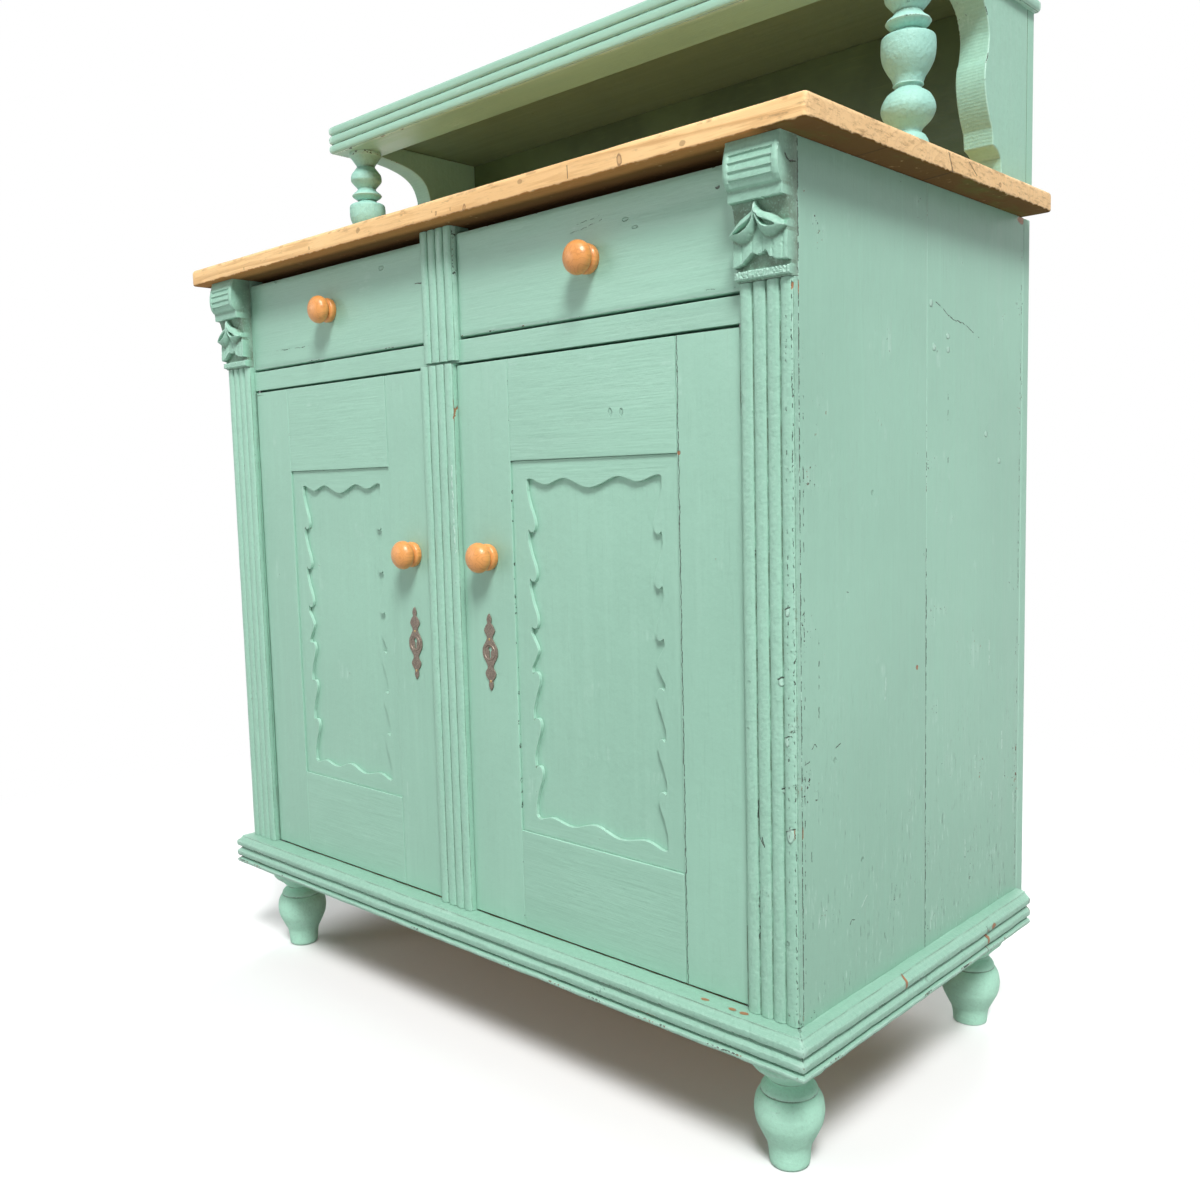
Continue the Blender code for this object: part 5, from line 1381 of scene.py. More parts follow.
def make_plinth():
    """The front length and the two returns, mitred at the front corners."""
    profile = plinth_profile()
    closed = profile + [(0.0, PLINTH_TOP), (0.0, FOOT_TOP)]
    reach = HALF + PLINTH_PROJECTION + 1 * MM
    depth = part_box("plinth_front")[1].y - FRONT
    front_loop = [(FRONT - out, z) for out, z in profile]
    front_loop += [(FRONT + depth, PLINTH_TOP), (FRONT + depth, FOOT_TOP)]
    front = outline_piece([front_loop], 0, -reach, reach, steps=60)
    for side in (-1, 1):
        cut_away(front, (side * HALF, FRONT, 0), (side, 1, 0))
    wander(front, *PLINTH_WANDER, 2.2)
    complete(front, "plinth_front_length", ROOT, SAGE_PLINTH_FRONT, ["plinth_front"], angle=32)
    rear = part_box("plinth_right")[1].y
    for side, hand in ((-1, "left"), (1, "right")):
        loop = [(side * (HALF + out), z) for out, z in closed]
        length = outline_piece([loop], 1, FRONT - PLINTH_PROJECTION - 1 * MM, rear, steps=36)
        cut_away(length, (side * HALF, FRONT + 0.4 * MM, 0), (-side, -1, 0))
        wander(length, *PLINTH_WANDER, 5.2 + side)
        complete(length, f"plinth_{hand}_length", ROOT, SAGE_PLINTH_SIDE, [f"plinth_{hand}"], angle=32)


make_plinth()
print("three plinth lengths")

# %% [markdown]
# ## The carved capitals
#
# At the head of each corner strip sits a carved block: a fluted scroll, a plain fillet, two rolled leaves,
# and an apron with a scalloped edge over a rough little shelf. This is relief carving, so each block is
# a fine grid whose points are pushed out by a carving rule, layer by layer, as a carver works down from
# the highest surface. Sculpting by hand would do it too, but could not be repeated by a script.

# %% Carving rules
CAPITAL_LOW, CAPITAL_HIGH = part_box("capital_right")
CAPITAL_WIDTH = CAPITAL_HIGH.x - CAPITAL_LOW.x
CAPITAL_HEIGHT = CAPITAL_HIGH.z - CAPITAL_LOW.z
CAPITAL_REACH = FRONT - CAPITAL_LOW.y
FLUTE_LINES = (106.5, 99.5, 91.8, 84.8, 78.2)
FLUTE_HALF = 0.79
FLUTE_DEPTH = 1.9
SCROLL = [(76.5, 15.2), (79, 18.2), (83, 20.6), (88, 21.9), (94, 22.4), (100, 22.0), (107, 20.6),
          (113, 18.7), (119.5, 16.6)]
GROUND = [(0, 0.4), (14, 0.5), (30, 0.8), (44, 2.4), (56, 4.6), (63, 6.2), (66.5, 7.6), (120, 12.0)]
RIM = [(0.0, 67.0), (0.05, 62.5), (0.14, 59.0), (0.30, 56.6), (0.5, 54.6), (0.68, 51.5), (0.82, 47.5),
       (1.0, 42.5)]
BELLY = [(0.0, 52.0), (0.05, 44.0), (0.16, 37.0), (0.32, 33.2), (0.5, 32.0), (0.68, 33.2), (0.84, 36.5),
         (1.0, 40.5)]
LEAF_DROP = {-1: 2.4, 1: 0.0}
LEAF_SPRING = -0.05
APRON = [(-1.0, 11.8), (-0.86, 12.2), (-0.65, 14.0), (-0.45, 18.4), (-0.28, 22.6), (-0.24, 22.2),
         (-0.09, 20.4), (0.07, 21.0), (0.20, 23.2), (0.25, 22.6), (0.36, 17.6), (0.57, 14.6),
         (0.84, 13.4), (1.0, 13.4)]
LEDGE_HEAD = 16
APRON_HEAD = 46
FILLET_FOOT = 66
SCROLL_FOOT = 75
SIDE_GAP = 0.2


def along_line(points, place):
    """The height of a line of points at one place along it."""
    if place <= points[0][0]:
        return points[0][1]
    for (first, low), (last, high) in zip(points, points[1:]):
        if place <= last:
            share = (place - first) / (last - first)
            share = share * share * (3 - 2 * share) * 0.35 + share * 0.65
            return low + (high - low) * share
    return points[-1][1]


def step_up(value, low, high):
    """0 below one value, 1 above another, smooth between them."""
    share = min(1.0, max(0.0, (value - low) / (high - low)))
    return share * share * (3 - 2 * share)


def carve_scroll(u, v):
    """The fluted scroll at the head: a bulge with four hollow flutes between plain borders."""
    surface = along_line(SCROLL, v)
    border = step_up(abs(u), FLUTE_HALF - 0.03, FLUTE_HALF + 0.03)
    sunk = 0.0
    for upper, lower in zip(FLUTE_LINES, FLUTE_LINES[1:]):
        if lower <= v < upper:
            share = (upper - v) / (upper - lower)
            sunk = FLUTE_DEPTH * step_up(share, 0.0, 0.10) * (1 - share) ** 0.8
    rounded = 1.1 * step_up(abs(u), 0.90, 1.0)
    return surface - sunk * (1 - border) - rounded


def carve_leaf(u, v, surface):
    """Two rolled leaves that spring from the middle, each with a thick rim, a slit and a hanging belly."""
    hand = -1 if u < LEAF_SPRING else 1
    out = min(1.0, abs(u - LEAF_SPRING))
    top = along_line(RIM, out) - LEAF_DROP[hand] * step_up(out, 0.15, 0.8)
    bottom = along_line(BELLY, out) - LEAF_DROP[hand] * step_up(out, 0.0, 0.3)
    if not bottom < v < top:
        return surface
    share = (top - v) / (top - bottom)
    swell = 5.0 + 8.6 * math.sin(math.pi * min(1.0, share * 1.02 + 0.06)) ** 0.62
    swell *= 0.70 + 0.30 * math.sin(math.pi * min(1.0, out * 0.85 + 0.12))
    along = (out - 0.05) / 0.72
    if 0 < along < 1:
        reach = 0.13 * math.sin(math.pi * along) ** 0.6 + 0.001
        slit = 1 - abs(share - 0.40 - 0.05 * along) / reach
        if slit > 0:
            swell -= 6.0 * min(1.0, slit * 1.8)
    spine = 1.4 * (1 - step_up(out, 0.0, 0.10))
    return max(surface, 2.4 + swell * step_up(share, 0.0, 0.06) * step_up(1 - share, 0.0, 0.05) + spine)


def carve(u, v):
    """How far the carved face stands out at one point: u from -1 to 1 across, v in mm from its foot."""
    surface = along_line(GROUND, v)
    grain = noise.noise(Vector((u * 14, v * 0.35, 3.0)))
    edge = along_line(APRON, u) + 0.5 * grain
    if v < APRON_HEAD:
        scallop = 0.8 * max(0.0, math.sin(u * 17 + 0.8 * grain)) ** 8
        apron = 6.6 + 1.2 * (APRON_HEAD - v) / 30 - scallop
        surface = max(surface, surface + (apron - surface) * step_up(v, edge, edge + 0.7))
    if v < LEDGE_HEAD:
        ledge = 5.0 + 0.8 * grain + 0.7 * noise.noise(Vector((u * 30, v * 1.1, 7.0)))
        risen = step_up(v, 0.8 + 0.8 * grain, 2.2) * (1 - step_up(v, 8.4 + 1.4 * grain, 9.6))
        surface = max(surface, ledge * risen)
    surface = carve_leaf(u, v, surface)
    if v > FILLET_FOOT:
        fillet = 13.9 + 0.05 * (v - 67)
        ragged = 66.8 + (0.9 * grain if u > -0.2 else 0.0)
        surface = max(surface, surface + (fillet - surface) * step_up(v, ragged, ragged + 0.6))
    if v > SCROLL_FOOT:
        surface = max(surface, surface + (carve_scroll(u, v) - surface) * step_up(v, 75.6, 77.6))
    side = step_up(abs(u), 0.955, 1.0)
    return min(surface, CAPITAL_REACH / MM - SIDE_GAP) - 0.6 * side * (0.5 + 0.5 * grain)


print("the carving stands out by at most", round(CAPITAL_REACH / MM, 1), "mm")

# %% Carved blocks
CARVING_STEP = 0.62 * MM
SIDE_STEP = 1.3 * MM
FLUTE_LEAN = 0.25
SHELTER_RISES = (1.0, 2.0, 3.5)
FULL_SHELTER = 6.0
SIDE_CURL = [(-0.2452, 0.9508), (-0.2420, 0.9478), (-0.2392, 0.9469), (-0.2285, 0.9472)]
CAPITAL_FINISH = {
    "left": SAGE_CARVED,
    "right": sage("sage_capital_right", 2, tone=0.98, chips=0.9, pits=0.95, rough=2.2, soil_and_shade=0.6, matte=0.12,
                  bands=[(0, HALF, 0.012)], marks={"cracks": side_lines([SIDE_CURL], 1.3 * MM, 0.0)})}
LEAF_HOLLOW = ((44, 50), (68, 70), (7.5, 10))
APRON_HOLLOW = ((9, 11), (26, 30), (2.5, 4.5))


def in_hollow(v, own, hollow):
    """How far a point lies in a hollow: between its lower and upper bounds, and deep enough."""
    foot, head, depth = hollow
    return step_up(v, *foot) * (1 - step_up(v, *head)) * (1 - step_up(own, *depth))


def darken_sheltered(block):
    """Store as crevice how far the carving above a point overhangs it and how deep it lies in a hollow,
    which the paint darkens as grime and painted shade.
    """
    left_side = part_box("capital_left")[0].x
    sheltered = []
    for vert in block.data.vertices:
        side = CAPITAL_LOW.x if vert.co.x > 0 else left_side
        u = min(1.0, max(-1.0, (vert.co.x - side) / CAPITAL_WIDTH * 2 - 1))
        v = (vert.co.z - CAPITAL_LOW.z) / MM
        own = (FRONT - vert.co.y) / MM
        above = max(carve(u, v + rise) for rise in SHELTER_RISES)
        recess = max(in_hollow(v, own, LEAF_HOLLOW), in_hollow(v, own, APRON_HOLLOW))
        sheltered.append(min(1.0, max(0.0, (above - own) / FULL_SHELTER, recess)))
    values = [sheltered[loop.vertex_index] for loop in block.data.loops]
    block.data.attributes["crevice"].data.foreach_set("value", values)


def make_capital(hand):
    """One carved block: the carved face, with plain sides and back."""
    low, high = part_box(f"capital_{hand}")
    columns = int(CAPITAL_WIDTH / CARVING_STEP)
    rows = int(CAPITAL_HEIGHT / CARVING_STEP)
    deselect()
    bpy.ops.mesh.primitive_grid_add(x_subdivisions=columns, y_subdivisions=rows, size=1)
    block = bpy.context.object
    lean = FLUTE_LEAN if hand == "right" else -FLUTE_LEAN
    for vert in block.data.vertices:
        u = vert.co.x * 2
        share = vert.co.y + 0.5
        v = share * CAPITAL_HEIGHT / MM
        tilt = v + lean * u if 3 < v < 116 else v
        place = carve(u, tilt) * MM
        across = low.x + (u + 1) / 2 * (high.x - low.x)
        vert.co = Vector((across, FRONT - place, low.z + share * CAPITAL_HEIGHT))
    edit(block)
    bpy.ops.mesh.select_mode(type="EDGE")
    bpy.ops.mesh.select_all(action="DESELECT")
    bpy.ops.mesh.select_non_manifold()
    for step in (SIDE_STEP, high.y - low.y):
        bpy.ops.mesh.extrude_edges_move(TRANSFORM_OT_translate={"value": (0, step, 0)})
        shape = bmesh.from_edit_mesh(block.data)
        last = high.y - (NEAR if step == SIDE_STEP else 0.0)
        for vert in shape.verts:
            if vert.select:
                vert.co.y = min(vert.co.y, last)
        bmesh.update_edit_mesh(block.data)
    bpy.ops.mesh.edge_face_add()
    bpy.ops.mesh.select_all(action="SELECT")
    bpy.ops.mesh.normals_make_consistent(inside=False)
    leave()
    complete(block, f"carved_capital_{hand}", ROOT, CAPITAL_FINISH[hand], [f"capital_{hand}"], angle=50)
    darken_sheltered(block)


make_capital("left")
make_capital("right")
print("two carved capitals")

# %% [markdown]
# ## The worktop
#
# The worktop is glued up from four waxed pine boards, whose joints show at the ends and underneath. The
# whole top is rounded first, with its corners and its upper and lower edges, and then cut into boards, so
# that the rounding runs through from board to board.

# %% Worktop finish
WAX_PALE = (1.0, 0.66, 0.315, 1)
WAX_LINE = (0.64, 0.345, 0.13, 1)
WAX_BARE = (0.86, 0.58, 0.30, 1)
WAX_BROWN = (0.20, 0.105, 0.040, 1)
KNOT = (0.19, 0.075, 0.030, 1)
# The underside's colours are painted shade, darker than the top and darkest near the carcass.
UNDER_SHADE_WARM = (0.48, 0.22, 0.065, 1)
UNDER_SHADE_DARK = (0.155, 0.075, 0.016, 1)
UNDER_OLIVE = (0.14, 0.115, 0.024, 1)
FRONT_KNOTS = [((0.036, 0.976), 2.6), ((0.0835, 0.9735), 4.2), ((0.029, 0.979), 1.4),
               ((0.060, 0.9765), 1.6), ((0.3076, 0.977), 6.0), ((-0.214, 0.9775), 2.2),
               ((-0.371, 0.975), 1.8)]
FRONT_STAINS = [(0.3835, 0.9765), (0.171, 0.984), (-0.11, 0.982)]
END_KNOT = (0.1045, 0.977)
TOP_END = TOP_HIGH.x
TOP_CRACKS = [([(TOP_END, -0.012, 0.9885), (TOP_END, -0.009, 0.982), (TOP_END, -0.003, 0.9713)], 1.2),
              ([(TOP_END, 0.032, 0.9870), (TOP_END, 0.050, 0.9770)], 0.8),
              ([(0.239, TOP_LOW.y, 0.986), (0.2395, TOP_LOW.y, 0.974)], 0.7),
              ([(HALF - 2 * MM, 0.001, TOP_LOW.z), (TOP_END, -0.007, TOP_LOW.z)], 1.5),
              ([(HALF - 2 * MM, -0.128, TOP_LOW.z), (TOP_END, -0.132, TOP_LOW.z)], 1.1),
              ([(TOP_END - 4 * MM, 0.237, 0.9800), (TOP_END - 4 * MM, 0.237, 0.9710)], 2.6)]


def add_knots(colour, place):
    """Knots in the front edge and one in the end, and small dark stains."""
    knots = [((x, TOP_LOW.y, z), (size * MM * 0.62, 14 * MM, size * MM)) for (x, z), size in FRONT_KNOTS]
    knots.append(((TOP_HIGH.x, *END_KNOT), (12 * MM, 3 * MM, 2.5 * MM)))
    for centre, radii in knots:
        heart = spot(place, centre, tuple(radius * 0.62 for radius in radii))
        ring = sums("SUBTRACT", spot(place, centre, radii), times(heart, 0.55))
        colour = mixed(times(ring, 0.75), colour, KNOT)
    for x, z in FRONT_STAINS:
        stain = spot(place, (x, TOP_LOW.y, z), (4 * MM, 12 * MM, 3 * MM))
        colour = mixed(times(stain, 0.5), colour, WAX_BROWN)
    return colour


def underside(material, place, pores):
    """The colour of the unwaxed underside, darkened as painted shade most near the carcass and the right
    end, and the mask that shows it.
    """
    parts = parts_of(place)
    under = between(parts["Z"], TOP_LOW.z + 1.9 * MM, TOP_LOW.z + 0.6 * MM)
    smears = clouds(place_on(material, (1, 0.35, 1)), 26, 4, 0.6)
    side = between(parts["X"], HALF - 0.03, HALF - 0.005)
    inner = highest(between(parts["Y"], FRONT - 16 * MM, FRONT - 2 * MM), side)
    # Painted shade: the underside darkens towards the carcass and the right end, with olive smears there.
    below = mixed(inner, UNDER_SHADE_WARM, UNDER_SHADE_DARK)
    below = mixed(times(side, between(smears, 0.5, 0.66)), below, UNDER_OLIVE)
    return mixed(between(pores, 0.5, 0.75, 0, 0.4), below, UNDER_SHADE_DARK), under


def waxed_top(name, move):
    """Waxed pine with fine grain lines along it, knots, end grain at the ends and an underside darkened as
    painted shade, with olive smears near its right end.
    """
    material, shader = new_finish(name)
    plain = place_on(material)
    lined = place_on(material, (0.045, 1, 1), move)
    rings = sums("FRACT", times(clouds(lined, 13.0, 2, 0.4), 19.0))
    line = sums("SUBTRACT", between(rings, 0.50, 0.93), between(rings, 0.94, 1.0))
    pores = clouds(lined, 1100, 3, 0.6)
    wide = clouds(place_on(material, (0.3, 1, 1), move), 14, 3)
    streaks = clouds(lined, 230, 3, 0.6)
    looks = facing(material)
    colour = mixed(times(line, 0.55), WAX_PALE, WAX_LINE)
    colour = mixed(between(wide, 0.42, 0.75, 0, 0.35), colour, WAX_LINE)
    colour = mixed(between(streaks, 0.50, 0.68, 0, 0.45), colour, WAX_LINE)
    colour = mixed(between(pores, 0.56, 0.78, 0, 0.30), colour, WAX_BROWN)
    # Painted shade: faces that look up are darkened towards the grain colour.
    colour = mixed(between(looks["Z"], 0.6, 0.95, 0, 0.55), colour, WAX_LINE)

    end = between(sums("ABSOLUTE", looks["X"]), 0.55, 0.85)
    speckle = clouds(place_on(material, (1, 0.22, 1)), 300, 5, 0.75)
    grained = mixed(between(speckle, 0.48, 0.70, 0, 0.75), WAX_BARE, WAX_BROWN)
    colour = mixed(times(end, 0.75), colour, grained)

    wear = between(stored(material, "edge_wear"), 0.2, 0.9)
    patchy = clouds(plain, 34, 4, 0.65)
    scuffed = clouds(place_on(material, (0.25, 1, 1)), 120, 5, 0.7)
    colour = mixed(between(scuffed, 0.60, 0.72, 0, 0.45), colour, WAX_BROWN)
    colour = mixed(times(wear, between(patchy, 0.42, 0.6, 0, 0.6)), colour, WAX_BARE)
    colour = mixed(times(wear, between(patchy, 0.52, 0.62, 0, 0.8)), colour, WAX_BROWN)

    place = drifting(material, 130.0)
    below, under = underside(material, place, pores)
    colour = mixed(under, add_knots(colour, place), below)
    for points, width in TOP_CRACKS:
        colour = mixed(times(crack(plain, points, width * MM), 0.9), colour, toned(WAX_BROWN, 0.3))
    relief = relief_of([(line, 0.15 * MM), (pores, 0.22 * MM), (clouds(plain, 45, 4), 1.0 * MM)])
    dress(shader, colour, highest(between(patchy, 0.3, 0.7, 0.46, 0.62), under), relief)
    shader.inputs["Specular IOR Level"].default_value = 0.35
    return material


print("the worktop's finish,", len(TOP_CRACKS), "cracks and", len(FRONT_KNOTS) + 1, "knots")

# %% Worktop boards
TOP_CORNER = 6 * MM
TOP_UPPER_ROUND = 5.5 * MM
TOP_LOWER_ROUND = 2.2 * MM
TOP_JOINT_ARRIS = 0.45 * MM
TOP_CUTS = 60
TOP_JOINTS = (-0.132, -0.006, 0.118)
BOARD_SHIFT = (0.7, 0.31, 0.13)


def rounded_top():
    """The whole worktop, with its corners and its upper and lower edges rounded."""
    deselect()
    bpy.ops.mesh.primitive_cube_add(size=1, location=(TOP_LOW + TOP_HIGH) / 2, scale=TOP_HIGH - TOP_LOW)
    top = bpy.context.object
    bpy.ops.object.transform_apply(location=True, rotation=True, scale=True)
    edit(top)
    pick(top, "EDGE", lambda edge: abs(edge.verts[0].co.z - edge.verts[1].co.z) > 5 * MM)
    bpy.ops.mesh.bevel(offset=TOP_CORNER, segments=6, affect="EDGES")
    pick(top, "EDGE", lambda edge: middle(edge).z > TOP_HIGH.z - 1 * MM)
    bpy.ops.mesh.bevel(offset=TOP_UPPER_ROUND, segments=5, affect="EDGES")
    pick(top, "EDGE", lambda edge: middle(edge).z < TOP_LOW.z + 1 * MM and edge.calc_face_angle(0) > 0.5)
    bpy.ops.mesh.bevel(offset=TOP_LOWER_ROUND, segments=4, affect="EDGES")
    leave()
    return top


def make_worktop():
    """Four boards with rounded outer edges and fine joints."""
    length = TOP_HIGH.x - TOP_LOW.x
    lines = [TOP_LOW.y - 0.01, *TOP_JOINTS, TOP_HIGH.y + 0.01]
    for index, (front, rear) in enumerate(zip(lines, lines[1:])):
        plank = rounded_top()
        if front in TOP_JOINTS:
            cut_away(plank, (0, front, 0), (0, -1, 0))
        if rear in TOP_JOINTS:
            cut_away(plank, (0, rear, 0), (0, 1, 0))
        soften(plank, TOP_JOINT_ARRIS, 2, 60,
               lambda edge: min(abs(middle(edge).y - front), abs(middle(edge).y - rear)) < 1 * MM)
        edit(plank)
        for cut in range(1, TOP_CUTS):
            bpy.ops.mesh.select_all(action="SELECT")
            bpy.ops.mesh.bisect(plane_co=(TOP_LOW.x + length * cut / TOP_CUTS, 0, 0), plane_no=(1, 0, 0))
        leave()
        wander(plank, 0.35 * MM, 45 * MM, 1.0)
        finish = waxed_top(f"waxed_board_{index + 1}", tuple(shift * index for shift in BOARD_SHIFT))
        complete(plank, f"worktop_board_{index + 1}", ROOT, finish, ["worktop"])


make_worktop()
print("four worktop boards")

# %% [markdown]
# ## The gallery
#
# Above the worktop a shelf stands on two turned columns and two shaped side boards, with a board behind
# whose faces are painted dark olive as painted shade. The photograph shows its columns and the right side
# board; the shelf above them is worked out from these.

# %% Gallery boards
GALLERY_BACK_LOW, GALLERY_BACK_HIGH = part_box("gallery_back")
SIDE_TOE = [(0.335, 0.065), (0.348, 0.135), (0.395, 0.170), (0.448, 0.185)]
SIDE_BELLY = [(0.462, 0.269), (0.505, 0.339), (0.536, 0.409), (0.558, 0.499), (0.550, 0.584),
              (0.524, 0.638), (0.506, 0.738), (0.519, 0.798), (0.545, 0.853), (0.595, 0.903),
              (0.690, 0.948), (0.819, 0.978)]
CLEAR_HEIGHT = GALLERY_LOW.z - TOP_HIGH.z
SWEPT_ARRIS = 1.6 * MM
GALLERY_ARRIS = 1.0 * MM
GALLERY_GAP = 0.3 * MM


def make_gallery_sides():
    """Side boards with a toe on the worktop and a sweep under the shelf."""
    for hand in ("left", "right"):
        low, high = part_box(f"gallery_side_{hand}")
        reach = high.y - low.y
        foot = low.z - TOP_HIGH.z
        head = high.z - TOP_HIGH.z
        rear = high.y - GALLERY_BACK_LOW.y
        sweep = smooth_line(SIDE_TOE) + smooth_line(SIDE_BELLY)
        outline = [(SIDE_TOE[0][0] * reach, foot)]
        outline += [(forward * reach, height * CLEAR_HEIGHT) for forward, height in sweep]
        outline += [(reach, CLEAR_HEIGHT), (reach, head), (rear, head), (rear, foot)]
        loop = [(high.y - forward, TOP_HIGH.z + height) for forward, height in outline]
        piece = outline_piece([loop], 0, low.x, high.x)
        soften(piece, SWEPT_ARRIS, 3, 50)
        wander(piece, 0.2 * MM, 40 * MM, low.x)
        complete(piece, f"gallery_side_board_{hand}", ROOT, SAGE_SWEPT, [f"gallery_side_{hand}"])


def make_gallery_boards():
    """The board behind, painted dark olive as painted shade, the shelf and its front rail."""
    back = board(GALLERY_BACK_LOW, GALLERY_BACK_HIGH, SIDE_ARRIS, 0, seed=4)
    # The board behind the gallery is painted dark olive as painted shade.
    complete(back, "gallery_back_board", ROOT, OLIVE_PAINTED_SHADE, ["gallery_back"])
    low, high = GALLERY_LOW, GALLERY_HIGH
    under = GALLERY_BACK_HIGH.z + GALLERY_GAP
    rail_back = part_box("gallery_side_right")[0].y - GALLERY_GAP
    shelf = board((low.x, low.y, under), high, GALLERY_ARRIS, 0, seed=6)
    complete(shelf, "gallery_shelf_board", ROOT, SAGE_SHELF, ["gallery_shelf"])
    rail = board(low, (high.x, rail_back, under - NEAR), GALLERY_ARRIS, 0, seed=8)
    complete(rail, "gallery_front_rail", ROOT, SAGE_LEVEL, ["gallery_shelf"])


make_gallery_sides()
make_gallery_boards()
print("two gallery sides, the back, the shelf and its front rail")

# %% Gallery moulding
MOULDING_LOW, MOULDING_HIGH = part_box("gallery_moulding")
MOULDING_THICKNESS = GALLERY_LOW.y - MOULDING_LOW.y
MOULDING_REED_DEPTH = 2.8 * MM
MOULDING_GAP = 0.2 * MM
MOULDING_WANDER = (0.2 * MM, 30 * MM)


def make_gallery_moulding():
    """Three reeds round the shelf's edge, mitred at the front corners."""
    base = MOULDING_THICKNESS - MOULDING_REED_DEPTH
    bottom = MOULDING_LOW.z
    top = MOULDING_HIGH.z
    reeds = [(base + lift, z) for z, lift in reed_profile(bottom, top, 3, MOULDING_REED_DEPTH)]
    closed = [(MOULDING_GAP, bottom), (base, bottom), *reeds, (base, top), (MOULDING_GAP, top)]
    side_x = GALLERY_HIGH.x
    reach = side_x + MOULDING_THICKNESS + 1 * MM
    front = outline_piece([[(GALLERY_LOW.y - out, z) for out, z in closed]], 0, -reach, reach, steps=50)
    for side in (-1, 1):
        cut_away(front, (side * side_x, GALLERY_LOW.y, 0), (side, 1, 0))
    wander(front, *MOULDING_WANDER, 1.7)
    complete(front, "gallery_moulding_front", ROOT, SAGE_MOULDING, ["gallery_moulding"], angle=32)
    for side, hand in ((-1, "left"), (1, "right")):
        loop = [(side * (side_x + out), z) for out, z in closed]
        length = outline_piece([loop], 1, MOULDING_LOW.y - 1 * MM, MOULDING_HIGH.y, steps=24)
        cut_away(length, (side * side_x, GALLERY_LOW.y, 0), (-side, -1, 0))
        wander(length, *MOULDING_WANDER, 3.1 + side)
        complete(length, f"gallery_moulding_{hand}", ROOT, SAGE_DEEPWISE, ["gallery_moulding"], angle=32)


make_gallery_moulding()
print("three gallery moulding lengths")

# %% [markdown]
# ## Turned columns, feet and knobs
#
# A lathe makes these, and spinning half a profile does the same. The profile's beads and hollows are
# measured off the silhouette, as shares of the height and of the widest radius.

# %% Columns
COLUMN_BALL = 27.4 * MM
COLUMN_BASE = [(0.0, 0.90), (0.004, 0.955), (0.030, 0.950), (0.042, 0.86), (0.070, 0.821), (0.110, 0.701),
               (0.128, 0.62)]
COLUMN_BALL_LINE = [(0.140, 0.50), (0.150, 0.49), (0.170, 0.573), (0.200, 0.803), (0.230, 0.945),
                    (0.259, 1.0), (0.292, 0.95), (0.327, 0.80), (0.345, 0.62), (0.357, 0.50)]
COLUMN_GROOVE = [(0.363, 0.47), (0.372, 0.50), (0.378, 0.565), (0.384, 0.545)]
COLUMN_VASE = [(0.390, 0.55), (0.417, 0.62), (0.448, 0.77), (0.491, 0.93), (0.530, 0.99), (0.564, 1.0),
               (0.598, 0.985), (0.611, 0.94), (0.619, 0.82), (0.625, 0.64), (0.636, 0.53)]
COLUMN_DISC = [(0.644, 0.49), (0.655, 0.60), (0.671, 0.774), (0.682, 0.832), (0.694, 0.774), (0.712, 0.60),
               (0.733, 0.49)]
COLUMN_HEAD = [(0.745, 0.56), (0.766, 0.701), (0.788, 0.832), (0.805, 0.858), (0.838, 0.818),
               (0.868, 0.657), (0.898, 0.493)]
COLUMN_CROWN = [(0.910, 0.52), (0.948, 0.712), (0.965, 0.80), (0.975, 0.876), (1.0, 0.876)]


def make_columns():
    """Two turned columns between the worktop and the gallery's rail."""
    shares = COLUMN_BASE + smooth_line(COLUMN_BALL_LINE, 3) + COLUMN_GROOVE + smooth_line(COLUMN_VASE, 3)
    shares += COLUMN_DISC + smooth_line(COLUMN_HEAD, 3) + COLUMN_CROWN
    for hand in ("left", "right"):
        low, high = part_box(f"column_{hand}")
        centre = ((low.x + high.x) / 2, (low.y + high.y) / 2, low.z)
        height = high.z - low.z
        profile = [(share * height, width * COLUMN_BALL) for share, width in shares]
        column = turned([(0, 0), *profile, (height, 0)], centre, steps=56)
        wander(column, 0.15 * MM, 30 * MM, low.x)
        complete(column, f"turned_column_{hand}", ROOT, SAGE_TURNED, [f"column_{hand}"], angle=40)


make_columns()
print("two columns")

# %% Feet
FOOT_BELLY = 34.8 * MM
FOOT_TOE = [(0.0, 0.0), (0.0, 0.47), (0.006, 0.53), (0.022, 0.575), (0.05, 0.585)]
FOOT_BELLY_LINE = [(0.12, 0.605), (0.18, 0.645), (0.225, 0.72), (0.275, 0.81), (0.355, 0.942),
                   (0.41, 0.985), (0.457, 1.0), (0.50, 0.985), (0.545, 0.955), (0.58, 0.89), (0.600, 0.84)]
FOOT_RING = [(0.606, 0.808), (0.611, 0.80), (0.616, 0.812), (0.632, 0.80), (0.645, 0.775)]
FOOT_NECK = [(0.675, 0.68), (0.695, 0.595), (0.708, 0.58), (0.728, 0.665), (0.761, 0.78), (0.791, 0.905)]
FOOT_COLLAR = [(0.819, 1.04), (0.842, 1.10), (0.87, 1.106), (0.996, 1.106), (0.9975, 1.0), (0.9975, 0.0)]
COLLAR_FOOT = 0.842
FOOT_SAG = {"front_left": 0.0, "front_right": 0.0, "rear_left": 0.02, "rear_right": 0.05}


def foot_profile(sag):
    """A foot's half profile. sag lowers the belly and the neck, because no two feet are turned alike."""
    shares = FOOT_TOE + smooth_line(FOOT_BELLY_LINE, 3) + FOOT_RING
    shares += smooth_line(FOOT_NECK, 3) + FOOT_COLLAR
    profile = []
    for height, width in shares:
        drop = 0.0
        if 0 < height < COLLAR_FOOT:
            drop = sag * math.sin(math.pi * height / COLLAR_FOOT) ** 0.5
        profile.append(((height - drop) * FOOT_TOP, width * FOOT_BELLY))
    return profile


